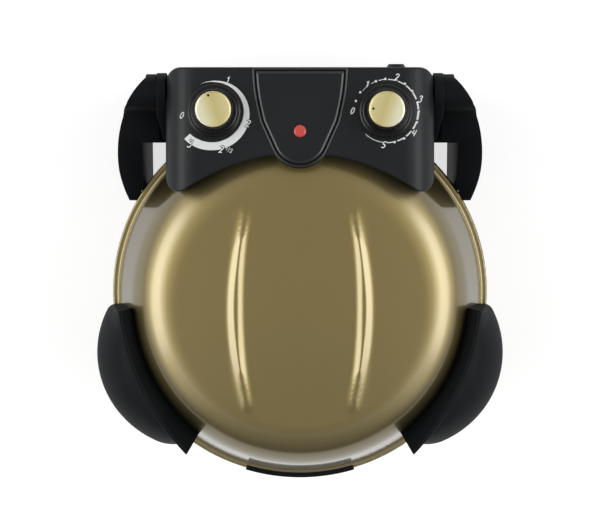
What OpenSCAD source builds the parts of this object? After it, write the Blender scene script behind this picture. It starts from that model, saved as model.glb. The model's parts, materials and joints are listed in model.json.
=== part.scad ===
// Electric pizza maker: a shallow base with a round baking stone, a domed lid that turns on two
// rear supports, a control housing over the back of the lid and two wing handles in front.
// Everything is placed from the axis of the stone, then moved so that the origin is at the middle
// of the footprint. +Z is up, the hinge is towards +Y and the front towards -Y.

/* [Stone and base] */
// Radius of the baking stone
stone_r = 155; // [145:1:165]
// Thickness of the baking stone
stone_t = 12; // [9:0.5:15]
// Gap between the edge of the stone and the wall of the pan
stone_gap = 2.4; // [1.5:0.1:4]
// Thickness of the pressed sheet of the pan, the lid and the liners
sheet_t = 1.2; // [0.8:0.1:1.6]
// Width of the flange round the pan
flange_w = 12; // [8:0.5:16]
// Height of the upper face of the flange
flange_z = 76; // [70:0.5:85]
// Height of the floor of the pan above the table
floor_z = 16; // [13:0.5:20]
// Radius of the flat floor of the pan
floor_r = 138; // [130:1:144]
// Depth of the upper face of the stone below the flange
stone_sink = 3; // [1.5:0.5:6]
// Number of vent slots in the floor of the pan
vent_count = 16; // [8:2:20]
// Length of one vent slot
vent_len = 26; // [16:1:34]
// Width of one vent slot
vent_w = 5; // [3:0.5:7]
// Thickness of the rubber pads under the feet
pad_t = 3; // [2:0.5:4]
// Radius of the front feet
foot_r = 14; // [10:0.5:18]
// Half the angle that the trim bar on the front of the rim covers
trim_angle = 17; // [10:0.5:22]

/* [Lid] */
// Gap between the flange and the bead of the closed lid
rim_gap = 0.4; // [0.3:0.1:1]
// Radius of the rolled bead along the edge of the lid
bead_r = 2.4; // [1.8:0.1:3]
// Distance from the edge of the flange in to the outside of the bead
bead_inset = 4.1; // [3:0.1:6]
// Height of the steep skirt of the lid
skirt_h = 31; // [26:0.5:36]
// Angle between the skirt and the vertical
skirt_lean = 24.3; // [15:0.1:30]
// Radius of the rounded shoulder above the skirt
shoulder_r = 50; // [40:1:60]
// Angle of the crown where it meets the shoulder
crown_tilt = 3; // [1.5:0.1:5]
// Distance from the stone's axis forward to the middle of the ribs
rib_ahead = 4; // [0:0.5:8]
// Length of the embossed ribs
rib_len = 167; // [120:1:180]
// Distance between the outer edges of the two ribs
rib_span = 127.4; // [115:0.1:140]
// Width of one rib at the middle
rib_w = 15.3; // [13:0.1:22]
// Height of the ribs
rib_h = 3.2; // [1.5:0.1:4.5]
// Slope of the sides of the ribs
rib_slope = 27; // [24:1:40]
// Gap between the liner and the lid shell
liner_gap = 5; // [4:0.5:8]

/* [Hinge and rear supports] */
// Distance from the edge of the flange back to the hinge axis
hinge_back = 11.5; // [11:0.1:16]
// Height of the hinge axis above the table
hinge_z = 115; // [112:0.5:122]
// Radius of the barrel of the rear supports
barrel_r = 16.5; // [14:0.1:17]
// Radius of the hinge pins
pin_r = 4; // [3:0.1:5]
// Radial clearance between the hinge pins and the turning pieces
pin_play = 0.05; // [0.03:0.01:0.09]
// Gap between the knuckle and the barrel along the axis
knuckle_gap = 0.4; // [0.3:0.1:1]
// Width of the hinge knuckle on each side of the housing
knuckle_w = 8.6; // [6:0.1:12]
// Distance from the middle to the inner wall of the support arms
arm_in = 141.5; // [139:0.1:146]
// Radius of the outer outline of a support, seen from above
support_r = 105.2; // [100:0.1:112]
// Wall thickness of the moulded supports
support_wall = 3; // [2:0.1:4]
// Distance from the hinge axis forward to the finger window
window_back = 44; // [38:0.5:50]

/* [Control housing] */
// Width of the control housing
housing_w = 232.4; // [225:0.2:240]
// Distance from the hinge axis back to the rear wall of the housing
housing_back = 22.2; // [20:0.1:28]
// Height of the panel above the hinge axis, at the knobs
panel_rise = 34; // [31:0.5:40]
// Slope of the panel down to the rear
panel_tilt = 8; // [4:0.5:10]
// Width of the part of the panel that rolls down at each side
roll_w = 30; // [24:1:33]
// Radius of the rolled sides of the panel
roll_r = 34; // [34:1:44]
// Wall thickness of the housing
housing_wall = 3; // [2:0.1:4]
// Radius of the front edge of the housing, seen from above
front_r = 173.4; // [165:0.2:185]
// Radius of the two lobes that rest on the shoulder of the lid
lobe_r = 11.6; // [9:0.1:14]
// Radius of the tip of the tongue
tongue_r = 26.6; // [22:0.1:30]
// Height of the raised fascia above the panel
fascia_h = 2.6; // [1.5:0.1:4]
// Width of the slope round the fascia
fascia_slope = 5.2; // [3:0.1:7]
// Radius of the opening in the cord gland
gland_bore = 3.6; // [3:0.1:4.5]

/* [Knobs and lamp] */
// Distance between the axes of the two knobs
knob_span = 146; // [136:1:154]
// Distance from the hinge axis forward to the knobs
knob_forward = 15.5; // [12:0.5:22]
// Radius of the knob at its base
knob_r = 23.2; // [20:0.1:25]
// Height of the knobs
knob_h = 17; // [13:0.5:21]
// Radius of the metal cap on the knob
cap_r = 15.2; // [12:0.1:17]
// Radius of the knob shafts
shaft_r = 3; // [2.5:0.1:3.5]
// Radial clearance round the knob shafts
shaft_play = 0.08; // [0.03:0.01:0.1]
// Gap between the knob and the panel
knob_gap = 0.8; // [0.5:0.1:1.5]
// Radius of the pilot lamp lens
lamp_r = 5.4; // [4:0.1:7]

/* [Front handles] */
// Radius of the outer edge of a handle, seen from above
lip_r = 89; // [82:0.5:94]
// Radius of the crest of a handle, seen from above
crest_r = 221; // [200:1:245]
// Height of the crest above the flange
crest_rise = 54; // [48:0.5:60]
// Height of the outer edge of a handle above the flange
lip_rise = 11; // [8:0.5:14]
// Wall thickness of the handles
grip_wall = 3; // [2.2:0.1:4]

/* [Heating elements] */
// Radius of the element tube
tube_r = 3.25; // [2.5:0.05:4]
// Radius of the loop of the lower element
lower_loop = 108; // [95:1:116]
// Radius of the loop of the upper element
upper_loop = 98; // [85:1:106]
// Radius of the bends where the element turns to its terminals
bend_r = 16; // [12:0.5:20]
// Distance between the two legs of an element
leg_span = 60; // [54:1:70]

/* [Hidden] */
$fn = 96;

seat = 0.15;        // gap between pieces that are fastened to each other
cut = 1;            // how far a cutting solid runs past the face that it opens

// Base
pan_r = stone_r + stone_gap + sheet_t + 1.9;
flange_r = pan_r + flange_w;
stone_top = flange_z - stone_sink;
stone_bottom = stone_top - stone_t;
curl_r = 1.6;       // rolled edge of the flange

// Lid
bead_z = flange_z + rim_gap + bead_r;
bead_out = flange_r - bead_inset;
skirt_r = bead_out - bead_r - 1;
skirt_z = bead_z + bead_r + 0.8;
skirt_top_r = skirt_r - skirt_h * tan(skirt_lean);
skirt_top_z = skirt_z + skirt_h;
shoulder_c = [skirt_top_r - shoulder_r * cos(skirt_lean), skirt_top_z - shoulder_r * sin(skirt_lean)];
crown_edge_r = shoulder_c[0] + shoulder_r * sin(crown_tilt);
crown_edge_z = shoulder_c[1] + shoulder_r * cos(crown_tilt);
crown_r = crown_edge_r / sin(crown_tilt);
crown_c = crown_edge_z - crown_r * cos(crown_tilt);
crown_z = crown_c + crown_r;

// Hinge and housing
hinge_y = flange_r + hinge_back;
housing_x = housing_w / 2;
housing_rear = hinge_y + housing_back;
housing_z = hinge_z - barrel_r - 0.5;
knuckle_r = barrel_r + 1;
knuckle_in = housing_x + seat;
knuckle_out = knuckle_in + knuckle_w;
barrel_in = knuckle_out + knuckle_gap;
window_y = hinge_y - window_back;
knob_x = knob_span / 2;
knob_y = hinge_y - knob_forward;
panel_z = hinge_z + panel_rise;
front_c = flange_r - front_r - 39.6;
gland_out = 3;      // how far the cord gland stands out of the rear wall
trim_t = 1.4;       // thickness of the trim bar on the rim
frame_y = (housing_rear + gland_out - flange_r - trim_t) / 2;

// Points of an arc about c with radius r from angle a0 to a1
function arc(c, r, a0, a1, n) =
    [for (i = [0:n]) let (a = a0 + (a1 - a0) * i / n) [c[0] + r * cos(a), c[1] + r * sin(a)]];
function flip(points) = [for (i = [len(points) - 1:-1:0]) [-points[i][0], points[i][1]]];

// Height of the panel at a distance y from the stone's axis
function panel_at(y) = panel_z - (y - knob_y) * tan(panel_tilt);

// Region under the lid's outer face in section, moved in by d
module lid_section(d, bottom) {
    tangent = shoulder_c + (shoulder_r - d) * [cos(skirt_lean), sin(skirt_lean)];
    edge = shoulder_c + (shoulder_r - d) * [sin(crown_tilt), cos(crown_tilt)];
    polygon([[0, bottom], [tangent[0] + (tangent[1] - bottom) * tan(skirt_lean), bottom],
        tangent, edge, [0, edge[1]]]);
    intersection() {
        translate(shoulder_c) circle(shoulder_r - d);
        polygon([shoulder_c, shoulder_c + 90 * [cos(skirt_lean), sin(skirt_lean)],
            shoulder_c + [90, 90], shoulder_c + 90 * [sin(crown_tilt), cos(crown_tilt)]]);
    }
    intersection() {
        translate([0, crown_c]) circle(crown_r - d, $fn = 720);
        translate([0, edge[1] - 1]) square([edge[0], 20]);
    }
}

// Solid under the lid's outer face, moved in by d
module lid_form(d, bottom) {
    rotate_extrude() lid_section(d, bottom);
}

module placed() {
    translate([0, -frame_y, 0]) children();
}

module mirrored(side) {
    mirror([side < 0 ? 1 : 0, 0, 0]) children();
}

module on_panel(x, y) {
    translate([x, y, panel_at(y)]) rotate([-panel_tilt, 0, 0]) children();
}

// ---------------------------------------------------------------- base

pan_corner = 12;    // radius of the curve between the floor and the wall of the pan

// Section of the outer face of the pan, moved in by d
function pan_curve(d) = concat(
    arc([floor_r, floor_z + pan_corner], pan_corner - d, -90, -15, 8),
    [[pan_r - d, flange_z - sheet_t - 1]]);

module pan_form(d) {
    rotate_extrude()
        polygon(concat([[0, flange_z + cut], [0, floor_z + d]], pan_curve(d), [[pan_r - d, flange_z + cut]]));
}

module base_pan() {
    color("darkkhaki") difference() {
        union() {
            rotate_extrude() polygon(concat(
                [[0, floor_z]],
                pan_curve(0),
                [[pan_r + 1, flange_z - sheet_t], [flange_r - curl_r, flange_z - sheet_t],
                 [flange_r - curl_r, flange_z], [pan_r - 0.2, flange_z]],
                [for (i = [len(pan_curve(sheet_t)) - 1:-1:0]) pan_curve(sheet_t)[i]],
                [[0, floor_z + sheet_t]]));
            rotate_extrude() translate([flange_r - curl_r, flange_z - curl_r]) circle(curl_r, $fn = 24);
        }
        for (i = [0:vent_count - 1])
            rotate(i * 360 / vent_count) translate([floor_r * 0.52, 0, floor_z - cut]) slot(vent_len, vent_w);
        for (side = [-1, 1]) {
            translate([side * leg_span / 2, pan_r - 22, lower_z]) rotate([-90, 0, 0]) cylinder(r = tube_r + 1.2, h = 40);
            for (a = wing_angles) pan_bolt(side, a) cylinder(r = 2.2, h = 8, center = true, $fn = 32);
        }
    }
}

// A slot with round ends along X, open through a sheet
module slot(length, width) {
    translate([-length / 2 + width / 2, -width / 2, 0]) cube([length - width, width, sheet_t + 2 * cut]);
    for (end = [-1, 1])
        translate([end * (length - width) / 2, 0, 0]) cylinder(d = width, h = sheet_t + 2 * cut, $fn = 32);
}

// Places of the screws between the pan and a rear support, as angles from the X axis
wing_angles = [37.4, 46, 54];
bolt_z = 44;
pan_foot = [floor_r + pan_corner * cos(15), floor_z + pan_corner * (1 - sin(15))];
pan_lean = atan((pan_r - pan_foot[0]) / (flange_z - sheet_t - 1 - pan_foot[1]));
pan_bolt_r = pan_foot[0] + (bolt_z - pan_foot[1]) * tan(pan_lean);

module pan_bolt(side, angle) {
    mirrored(side) rotate(angle) translate([pan_bolt_r, 0, bolt_z]) rotate([0, 90 + pan_lean, 0]) children();
}

lower_z = 40;       // height of the lower element
dish_gap = 5;       // between the pan and the reflector in it

module lower_reflector() {
    color("silver") difference() {
        rotate_extrude() polygon([
            [0, floor_z + sheet_t + dish_gap], [floor_r - 26, floor_z + sheet_t + dish_gap],
            [floor_r - 10, lower_z - 6], [floor_r - 5, stone_bottom - 8], [floor_r + 1, stone_bottom - 8],
            [floor_r + 1, stone_bottom - 8 + sheet_t], [floor_r - 5 - sheet_t, stone_bottom - 8 + sheet_t],
            [floor_r - 10 - sheet_t, lower_z - 6 + sheet_t], [floor_r - 26 - 1, floor_z + 2 * sheet_t + dish_gap],
            [0, floor_z + 2 * sheet_t + dish_gap]]);
        for (side = [-1, 1])
            translate([side * leg_span / 2, floor_r - 30, lower_z]) rotate([-90, 0, 0])
                cylinder(r = tube_r + 0.8, h = 60);
        for (i = [0:2]) clip_place(i, lower_loop) cylinder(r = 1.7, h = floor_z * 4, center = true, $fn = 24);
    }
}

// One loop of element tube at radius loop, open at the rear, with two legs to leg_y.
// The tube draws in by a hair where it bends.
module element_loop(loop, leg_y) {
    x0 = leg_span / 2;
    bend_c = loop + bend_r;
    a = asin((x0 + bend_r) / bend_c);
    y0 = bend_c * cos(a);
    lap = 1;
    rotate([0, 0, 90 + a]) rotate_extrude(angle = 360 - 2 * a) translate([loop, 0]) circle(tube_r, $fn = 24);
    for (side = [-1, 1]) mirrored(side) {
        translate([x0 + bend_r, y0, 0]) rotate([0, 0, 180 - lap])
            rotate_extrude(angle = 90 - a + 2 * lap) translate([bend_r, 0]) circle(tube_r - 0.05, $fn = 24);
        translate([x0, y0, 0]) rotate([-90, 0, 0]) cylinder(r = tube_r, h = leg_y - y0, $fn = 48);
    }
}

module clip_place(i, loop) {
    rotate(-90 + 120 * i) translate([loop, 0, 0]) children();
}

module lower_element() {
    color("dimgray") translate([0, 0, lower_z]) element_loop(lower_loop, pan_r + 1);
}

// Clip that holds the element tube: a saddle on a post that runs to a sheet
module element_clip(post, up) {
    mirror([0, 0, up < 0 ? 1 : 0]) {
        difference() {
            translate([-tube_r - 3, -5, -tube_r - 1.5]) cube([2 * tube_r + 6, 10, 2 * tube_r + 3]);
            rotate([90, 0, 0]) cylinder(r = tube_r + 0.15, h = 10 + 2 * cut, center = true, $fn = 48);
            translate([-tube_r - 0.15, -5 - cut, 0]) cube([2 * tube_r + 0.3, 10 + 2 * cut, tube_r + 3]);
        }
        translate([0, 0, -post]) cylinder(r = 1.5, h = post - tube_r - 1.5, $fn = 24);
    }
}

module lower_element_clips() {
    color("gray") for (i = [0:2])
        clip_place(i, lower_loop) translate([0, 0, lower_z])
            element_clip(lower_z - floor_z - sheet_t, 1);
}

ring_h = 3;
leg_t = 2;

module stone_ring() {
    color("lightsteelblue") {
        rotate_extrude() polygon([
            [stone_r - 14, stone_bottom - ring_h], [stone_r - 1, stone_bottom - ring_h],
            [stone_r - 1, stone_bottom], [stone_r - 14, stone_bottom],
            [stone_r - 14, stone_bottom - 1.2], [stone_r - 12.8, stone_bottom - 1.2]]);
        for (i = [0:3]) rotate(45 + 90 * i) {
            translate([floor_r - 14, -7, floor_z + sheet_t]) cube([12, 14, leg_t]);
            translate([floor_r - 4, -7, floor_z + sheet_t]) ring_leg();
        }
    }
}

module ring_leg() {
    rise = stone_bottom - ring_h - floor_z - sheet_t;
    out = stone_r - 6 - floor_r;
    rotate([90, 0, 0]) translate([0, 0, -14]) linear_extrude(14) polygon([
        [0, 0], [leg_t, 0], [leg_t, rise * 0.45], [out + leg_t, rise * 0.8], [out + leg_t, rise],
        [out, rise], [out, rise * 0.8 + 0.8], [0, rise * 0.45 + 0.8]]);
}

module pizza_stone() {
    edge = 1.5;
    color("bisque") rotate_extrude() polygon([
        [0, stone_bottom], [stone_r - edge, stone_bottom], [stone_r, stone_bottom + edge],
        [stone_r, stone_top - edge], [stone_r - 0.6, stone_top - 0.5], [stone_r - edge, stone_top], [0, stone_top]]);
}

// Plain bar clipped over the edge of the flange at the front
module front_trim_bar() {
    t = trim_t;
    color("black") rotate([0, 0, -90 - trim_angle]) rotate_extrude(angle = 2 * trim_angle) polygon([
        [bead_out + 0.5, flange_z], [flange_r, flange_z], [flange_r, flange_z - 8], [flange_r + t, flange_z - 8],
        [flange_r + t, flange_z + t - 0.6], [flange_r + t - 0.6, flange_z + t], [bead_out + 0.5, flange_z + t]]);
}

foot_x = 82;
foot_y = -104;

module front_foot(side) {
    color("black") translate([side * foot_x, foot_y, pad_t]) rotate_extrude() polygon([
        [0, 0], [foot_r - 1.5, 0], [foot_r, 1.5], [foot_r - 0.8, floor_z - pad_t], [0, floor_z - pad_t]]);
}

module foot_pads() {
    color("dimgray") for (side = [-1, 1]) {
        translate([side * foot_x, foot_y, 0]) cylinder(r1 = foot_r - 3, r2 = foot_r - 2, h = pad_t);
        mirrored(side) for (p = pad_places) translate([p[0], p[1], 0]) cylinder(r1 = 6.5, r2 = 7.5, h = pad_t);
    }
}

// ---------------------------------------------------------------- rear supports

support_c = [flange_r - 114.3, flange_r - 47.8];
arm_front = support_c[1] - 38.5;
arm_top_front = flange_z - 4;
web_z = hinge_z - 17;
wing_in = 84;

pad_places = [[support_c[0] + support_r - 11.5, support_c[1] - 6], [barrel_in + 5, hinge_y - 8]];
wing_z = 20;
wing_top = flange_z - 10;

// Outline of a support from above, moved in by d
module support_plan(d) {
    intersection() {
        union() {
            translate(support_c) circle(support_r - d, $fn = 180);
            translate([wing_in + d, arm_front + d]) square([50, 200]);
        }
        difference() {
            translate([wing_in + d, arm_front + d])
                square([100, hinge_y + barrel_r - arm_front - 2 * d]);
            // window between the wing, the arm and the web behind
            translate([housing_x + 2.4 - d, 0]) square([arm_in - housing_x - 2.4 + 2 * d, window_y + d]);
            // room behind the wing
            translate([0, window_y + 24 - d]) square([housing_x + 2.4 + d, 100]);
        }
        // slanting cut at the outer rear corner
        polygon([[0, 0], [support_c[0] + support_r - d + 5, 0], [support_c[0] + support_r - d + 5, hinge_y - 30],
            [support_c[0] + 92.6 - d, hinge_y - 10], [support_c[0] + 80.5 - d, hinge_y + barrel_r],
            [support_c[0] + 80.5 - d, hinge_y + 60], [0, hinge_y + 60]]);
    }
}

// Side view of a support (y, z), moved in by d
module support_side(d) {
    bottom = d > 0 ? -cut : pad_t;
    union() {
        translate([hinge_y, hinge_z]) circle(barrel_r - d);
        polygon([
            [arm_front + d, bottom], [hinge_y + barrel_r - 5 - d, bottom], [hinge_y + barrel_r - d, hinge_z],
            [hinge_y, hinge_z + barrel_r - d], [hinge_y - barrel_r * 0.72, hinge_z + barrel_r * 0.69 - d],
            [hinge_y - barrel_r - 4, hinge_z - 6 - d], [window_y, web_z - d],
            [window_y - 26, web_z - 9 - d], [arm_front + d, arm_top_front - d]]);
    }
}

module side_extrude(x0, x1) {
    translate([x0, 0, 0]) rotate([90, 0, 90]) linear_extrude(x1 - x0) children();
}

// Solid of a support, moved in by d on every face but the open bottom
module support_solid(d) {
    difference() {
        intersection() {
            translate([0, 0, d > 0 ? -cut : pad_t]) linear_extrude(200) support_plan(d);
            side_extrude(0, 200) support_side(d);
        }
        // room below the knuckle
        translate([0, window_y + 2 - d, web_z - 2.5 - d]) cube([barrel_in + d, 100, 100]);
        // top and bottom of the wing
        translate([0, 0, wing_top - d]) cube([housing_x + 2.4 + d, 400, 100]);
        if (d == 0) cube([housing_x + 2.4, window_y + 10, wing_z]);
        pan_clear(seat + d);
    }
}

module rear_support(side) {
    inner = support_wall / 2;
    color("black") mirrored(side) difference() {
        union() {
            difference() {
                support_solid(0);
                support_solid(support_wall);
            }
            // boss for the hinge pin
            intersection() {
                support_solid(inner);
                translate([barrel_in, hinge_y, hinge_z]) rotate([0, 90, 0]) cylinder(r = pin_r + 4, h = 30);
            }
            // ribs that stiffen the shell, and the bosses above the pads
            for (y = [window_y - 24, window_y + 12, hinge_y - 18]) intersection() {
                support_solid(inner);
                translate([0, y, pad_t + 4]) cube([200, 2, web_z - 20]);
            }
            for (p = pad_places) intersection() {
                support_solid(inner);
                translate([p[0], p[1], pad_t]) cylinder(r = 8.5, h = 8);
            }
            // foot of the arm that is screwed to the wall of the pan
            difference() {
                translate([pan_bolt_r * cos(wing_angles[0]) - 10, arm_front + 3, bolt_z - 10])
                    cube([arm_in + inner - pan_bolt_r * cos(wing_angles[0]) + 10, 10, 20]);
                pan_clear(seat);
            }
        }
        // the flange and the lid
        translate([0, 0, flange_z - 2 * curl_r - 0.6]) cylinder(r = flange_r + 0.7, h = 100);
        translate([barrel_in - cut, hinge_y, hinge_z]) rotate([0, 90, 0])
            cylinder(r = pin_r + 0.02, h = pin_reach + cut);
        for (a = wing_angles) pan_bolt(1, a) cylinder(r = 1.7, h = 28, center = true, $fn = 32);
    }
}

// Everything inside the wall of the pan, moved out by d
module pan_clear(d) {
    rotate_extrude() polygon(concat(
        [[0, 0], [floor_r, 0], [floor_r, floor_z - d]], pan_curve(-d), [[pan_r + d, flange_z], [0, flange_z]]));
}

pin_reach = 11;     // how far the pin runs into the support
pin_head = 1.6;

module hinge_pin(side) {
    start = plate_x - knuckle_gap - pin_head;
    color("silver") mirrored(side) translate([start, hinge_y, hinge_z]) rotate([0, 90, 0]) {
        cylinder(r = pin_r, h = barrel_in + pin_reach - 0.5 - start);
        cylinder(r = pin_r + 2.2, h = pin_head);
    }
}

// Cover over the element terminals on the rear of the pan
module terminal_cover() {
    a = 17;
    depth = pan_r + 15.6;
    color("black") difference() {
        rotate([0, 0, 90 - a]) rotate_extrude(angle = 2 * a) polygon([
            [floor_r, lower_z - 16], [depth - 5, lower_z - 16], [depth, lower_z - 11],
            [depth, lower_z + 11], [depth - 5, lower_z + 16], [floor_r, lower_z + 16]]);
        rotate([0, 0, 90 - a + 1]) rotate_extrude(angle = 2 * a - 2) polygon([
            [floor_r - cut, lower_z - 14], [depth - 6, lower_z - 14], [depth - 2, lower_z - 10],
            [depth - 2, lower_z + 10], [depth - 6, lower_z + 14], [floor_r - cut, lower_z + 14]]);
        pan_clear(seat);
    }
}

// Ceramic bead and blade terminal at the end of each element leg
module terminals(leg_y, z) {
    for (side = [-1, 1]) translate([side * leg_span / 2, leg_y, z]) rotate([-90, 0, 0]) {
        cylinder(r = tube_r + 0.6, h = 2.5, $fn = 32);
        translate([-3.1, -0.4, 2.5]) cube([6.2, 0.8, 4.5]);
    }
}

module lower_terminals() {
    color("white") terminals(pan_r + 1, lower_z);
}

// Pan head screw along Z from the outer face of a sheet, with its head behind the sheet
module sheet_screw(length) {
    translate([0, 0, -sheet_t - 0.05]) cylinder(r = 1.6, h = length, $fn = 24);
    translate([0, 0, -sheet_t - 0.05 - 2.2]) cylinder(r1 = 2.4, r2 = 3.6, h = 2.2, $fn = 24);
}

module base_screws() {
    color("silver") for (side = [-1, 1]) for (a = wing_angles) pan_bolt(side, a) sheet_screw(10);
}

// ---------------------------------------------------------------- lid

// One embossed rib: inside one cone and outside another, cut flat on top
module rib() {
    half = rib_len / 2;
    bow = rib_w - 0.5;
    out_r = (half * half + bow * bow) / (2 * bow);
    in_bow = 3.7;
    in_r = (half * half + in_bow * in_bow) / (2 * in_bow);
    x_out = rib_span / 2;
    low = 3;
    z0 = crown_z - 0.9;
    run = (rib_h + low) / tan(rib_slope);
    intersection() {
        translate([x_out - out_r, -rib_ahead, z0 - low])
            cylinder(r1 = out_r + low / tan(rib_slope), r2 = out_r - rib_h / tan(rib_slope), h = rib_h + low, $fn = 180);
        difference() {
            translate([0, -half - rib_ahead, z0 - low]) cube([x_out + 10, rib_len, rib_h + low]);
            translate([x_out - rib_w - in_r, -rib_ahead, z0 - low - 0.01])
                cylinder(r1 = in_r - low / tan(rib_slope), r2 = in_r + rib_h / tan(rib_slope),
                    h = rib_h + low + 0.02, $fn = 180);
        }
    }
}

module lid_shell() {
    color("darkkhaki") difference() {
        union() {
            rotate_extrude() difference() {
                lid_section(0, skirt_z - 1.6);
                lid_section(sheet_t, skirt_z - 5);
            }
            rotate_extrude() translate([bead_out - bead_r, bead_z]) circle(bead_r, $fn = 32);
            difference() {
                for (side = [-1, 1]) mirrored(side) rib();
                lid_form(sheet_t / 2, skirt_z);
            }
        }
        for (side = [-1, 1]) {
            for (a = screw_angles) handle_screw_place(side, a) cylinder(r = 2.2, h = 8, center = true, $fn = 32);
            translate([side * leg_span / 2, 100, upper_z]) rotate([-90, 0, 0]) cylinder(r = tube_r + 1, h = 80, $fn = 32);
        }
    }
}

upper_z = skirt_z + skirt_h - 8;
liner_t = 1;

module lid_reflector() {
    color("silver") difference() {
        rotate_extrude() {
            difference() {
                lid_section(sheet_t + liner_gap, skirt_z);
                lid_section(sheet_t + liner_gap + liner_t, skirt_z - 5);
            }
            translate([skirt_r - 8, skirt_z - 0.8]) square([6, 1]);
        }
        for (side = [-1, 1])
            translate([side * leg_span / 2, 100, upper_z]) rotate([-90, 0, 0]) cylinder(r = tube_r + 1, h = 80, $fn = 32);
    }
}

upper_leg_y = 172;

module upper_element() {
    color("dimgray") translate([0, 0, upper_z]) element_loop(upper_loop, upper_leg_y);
}

// Height of the underside of the lid liner at radius r (inside the shoulder)
function liner_at(r) = let (d = sheet_t + liner_gap + liner_t)
    r < crown_edge_r ? crown_c + sqrt(pow(crown_r - d, 2) - r * r)
                     : shoulder_c[1] + sqrt(pow(shoulder_r - d, 2) - pow(r - shoulder_c[0], 2));

module upper_element_clips() {
    color("gray") for (i = [0:2])
        clip_place(i, upper_loop) translate([0, 0, upper_z])
            element_clip(liner_at(upper_loop + 1.6) - upper_z - 0.1, -1);
}

module upper_terminals() {
    color("white") terminals(upper_leg_y, upper_z);
}

// ---------------------------------------------------------------- front handles

handle_dir = -28.7;
lip_c = [(flange_r - 61.9) * cos(handle_dir), (flange_r - 61.9) * sin(handle_dir)];
crest_dir = -24.7;
crest_mid = [(flange_r - 13.2) * cos(-29.4), (flange_r - 13.2) * sin(-29.4)];
crest_c = crest_mid - crest_r * [cos(crest_dir), sin(crest_dir)];
crest_z = flange_z + crest_rise;
lip_z = flange_z + lip_rise;
crest_half = 18.6;      // half the angle that the crest covers
crest_lean = 29;        // how far the inner face leans in below the crest

// Lens between the crest and the outer edge, moved in by d
module lens_plan(r, d) {
    intersection() {
        translate(lip_c) circle(r - d, $fn = 72);
        translate([crest_mid[0] - 60, lip_c[1] - r - 5]) square([200, r + 47.5 - d]);
        difference() {
            square(800, center = true);
            translate(crest_c) circle(crest_r - 22 + d, $fn = 180);
        }
    }
}

module crest_plan(d) {
    polygon(concat(
        arc(crest_c, crest_r, crest_dir - crest_half + d / 3, crest_dir + crest_half - d / 3, 16),
        arc(crest_c, crest_r + grip_wall - d / 2, crest_dir + crest_half - d / 3 - 0.3, crest_dir - crest_half + d / 3 + 0.3, 16)));
}

// Convex body of a handle before the inner face is cut, moved in by d
module handle_form(d) {
    low = d > 0 ? -cut : 0;
    hull() {
        translate([0, 0, lip_z + low]) linear_extrude(2 - low) lens_plan(lip_r, d);
        translate([0, 0, lip_z + 14]) linear_extrude(1) lens_plan(lip_r - 6, d);
        translate([0, 0, (lip_z + crest_z) / 2 + 9 - d * 0.5]) linear_extrude(1) lens_plan(lip_r - 20, d);
        translate([0, 0, crest_z - 1.2 - d * 1.1]) linear_extrude(1.2) crest_plan(d);
    }
}

// Cone behind the inner face of a handle, moved out by d
module crest_cone(d) {
    drop = crest_z + 10 - lip_z + 2;
    translate([crest_c[0], crest_c[1], lip_z - 2])
        cylinder(r1 = crest_r + d - (drop - 10) * tan(crest_lean), r2 = crest_r + d + 10 * tan(crest_lean),
            h = drop, $fn = 180);
}

screw_angles = [-17, -42];
screw_z = lip_z + 14;

module handle_screw_place(side, angle) {
    r = skirt_r - (screw_z - skirt_z) * tan(skirt_lean);
    mirrored(side) rotate(angle) translate([r, 0, screw_z]) rotate([0, 90 - skirt_lean, 0]) children();
}

module handle(side) {
    color("black") difference() {
        union() {
            mirrored(side) difference() {
                handle_form(0);
                crest_cone(0);
                difference() {
                    handle_form(grip_wall);
                    crest_cone(grip_wall);
                }
            }
            for (a = screw_angles) intersection() {
                mirrored(side) handle_form(grip_wall / 2);
                handle_screw_place(side, a) translate([0, 0, -5]) cylinder(r = 5, h = 60, $fn = 32);
            }
        }
        lid_form(-seat, skirt_z - 10);
        for (a = screw_angles) handle_screw_place(side, a)
            translate([0, 0, -5]) cylinder(r = 1.7, h = 20, $fn = 32);
    }
}

module handle_screws() {
    color("silver") for (side = [-1, 1]) for (a = screw_angles) handle_screw_place(side, a) sheet_screw(14);
}

// ---------------------------------------------------------------- control housing

tongue_y = flange_r - 25.5;
lobe_x = housing_x - lobe_r;
lobe_c = [lobe_x, front_c + sqrt(pow(front_r + lobe_r, 2) - lobe_x * lobe_x)];
lobe_a = atan2(lobe_c[1] - front_c, lobe_x);
corner_r = 14;

// Outline of the housing from above, moved in by d
module housing_plan(d) {
    join_x = lobe_x - (lobe_r - d) * cos(lobe_a + 1);
    difference() {
        union() {
            translate([-join_x, front_c]) square([2 * join_x, lobe_c[1] - front_c + 1]);
            translate([d - housing_x, lobe_c[1]])
                square([housing_w - 2 * d, housing_rear - corner_r - lobe_c[1]]);
            translate([corner_r - housing_x, lobe_c[1]])
                square([housing_w - 2 * corner_r, housing_rear - d - lobe_c[1]]);
            for (side = [-1, 1]) translate([side * (housing_x - corner_r), housing_rear - corner_r])
                circle(corner_r - d);
        }
        translate([0, front_c]) circle(front_r + d);
    }
    for (side = [-1, 1]) translate([side * lobe_x, lobe_c[1]]) circle(lobe_r - d);
    translate([0, tongue_y]) circle(tongue_r - d);
}

// Section across the panel, which rolls down at both sides, moved in by d
module panel_section(d) {
    flat = housing_x - roll_w;
    translate([-flat, -100]) square([2 * flat, 100 - d]);
    translate([-flat - roll_r + d, -100]) square([2 * (flat + roll_r - d), 100 - roll_r]);
    for (side = [-1, 1]) translate([side * flat, -roll_r]) circle(roll_r - d);
}

// Solid between a flat bottom and the sloping panel, moved in by d
module housing_form(d, bottom) {
    intersection() {
        translate([0, 0, bottom]) linear_extrude(100) housing_plan(d);
        on_panel(0, knob_y) rotate([90, 0, 0]) linear_extrude(240, center = true) panel_section(d);
    }
}

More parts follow.
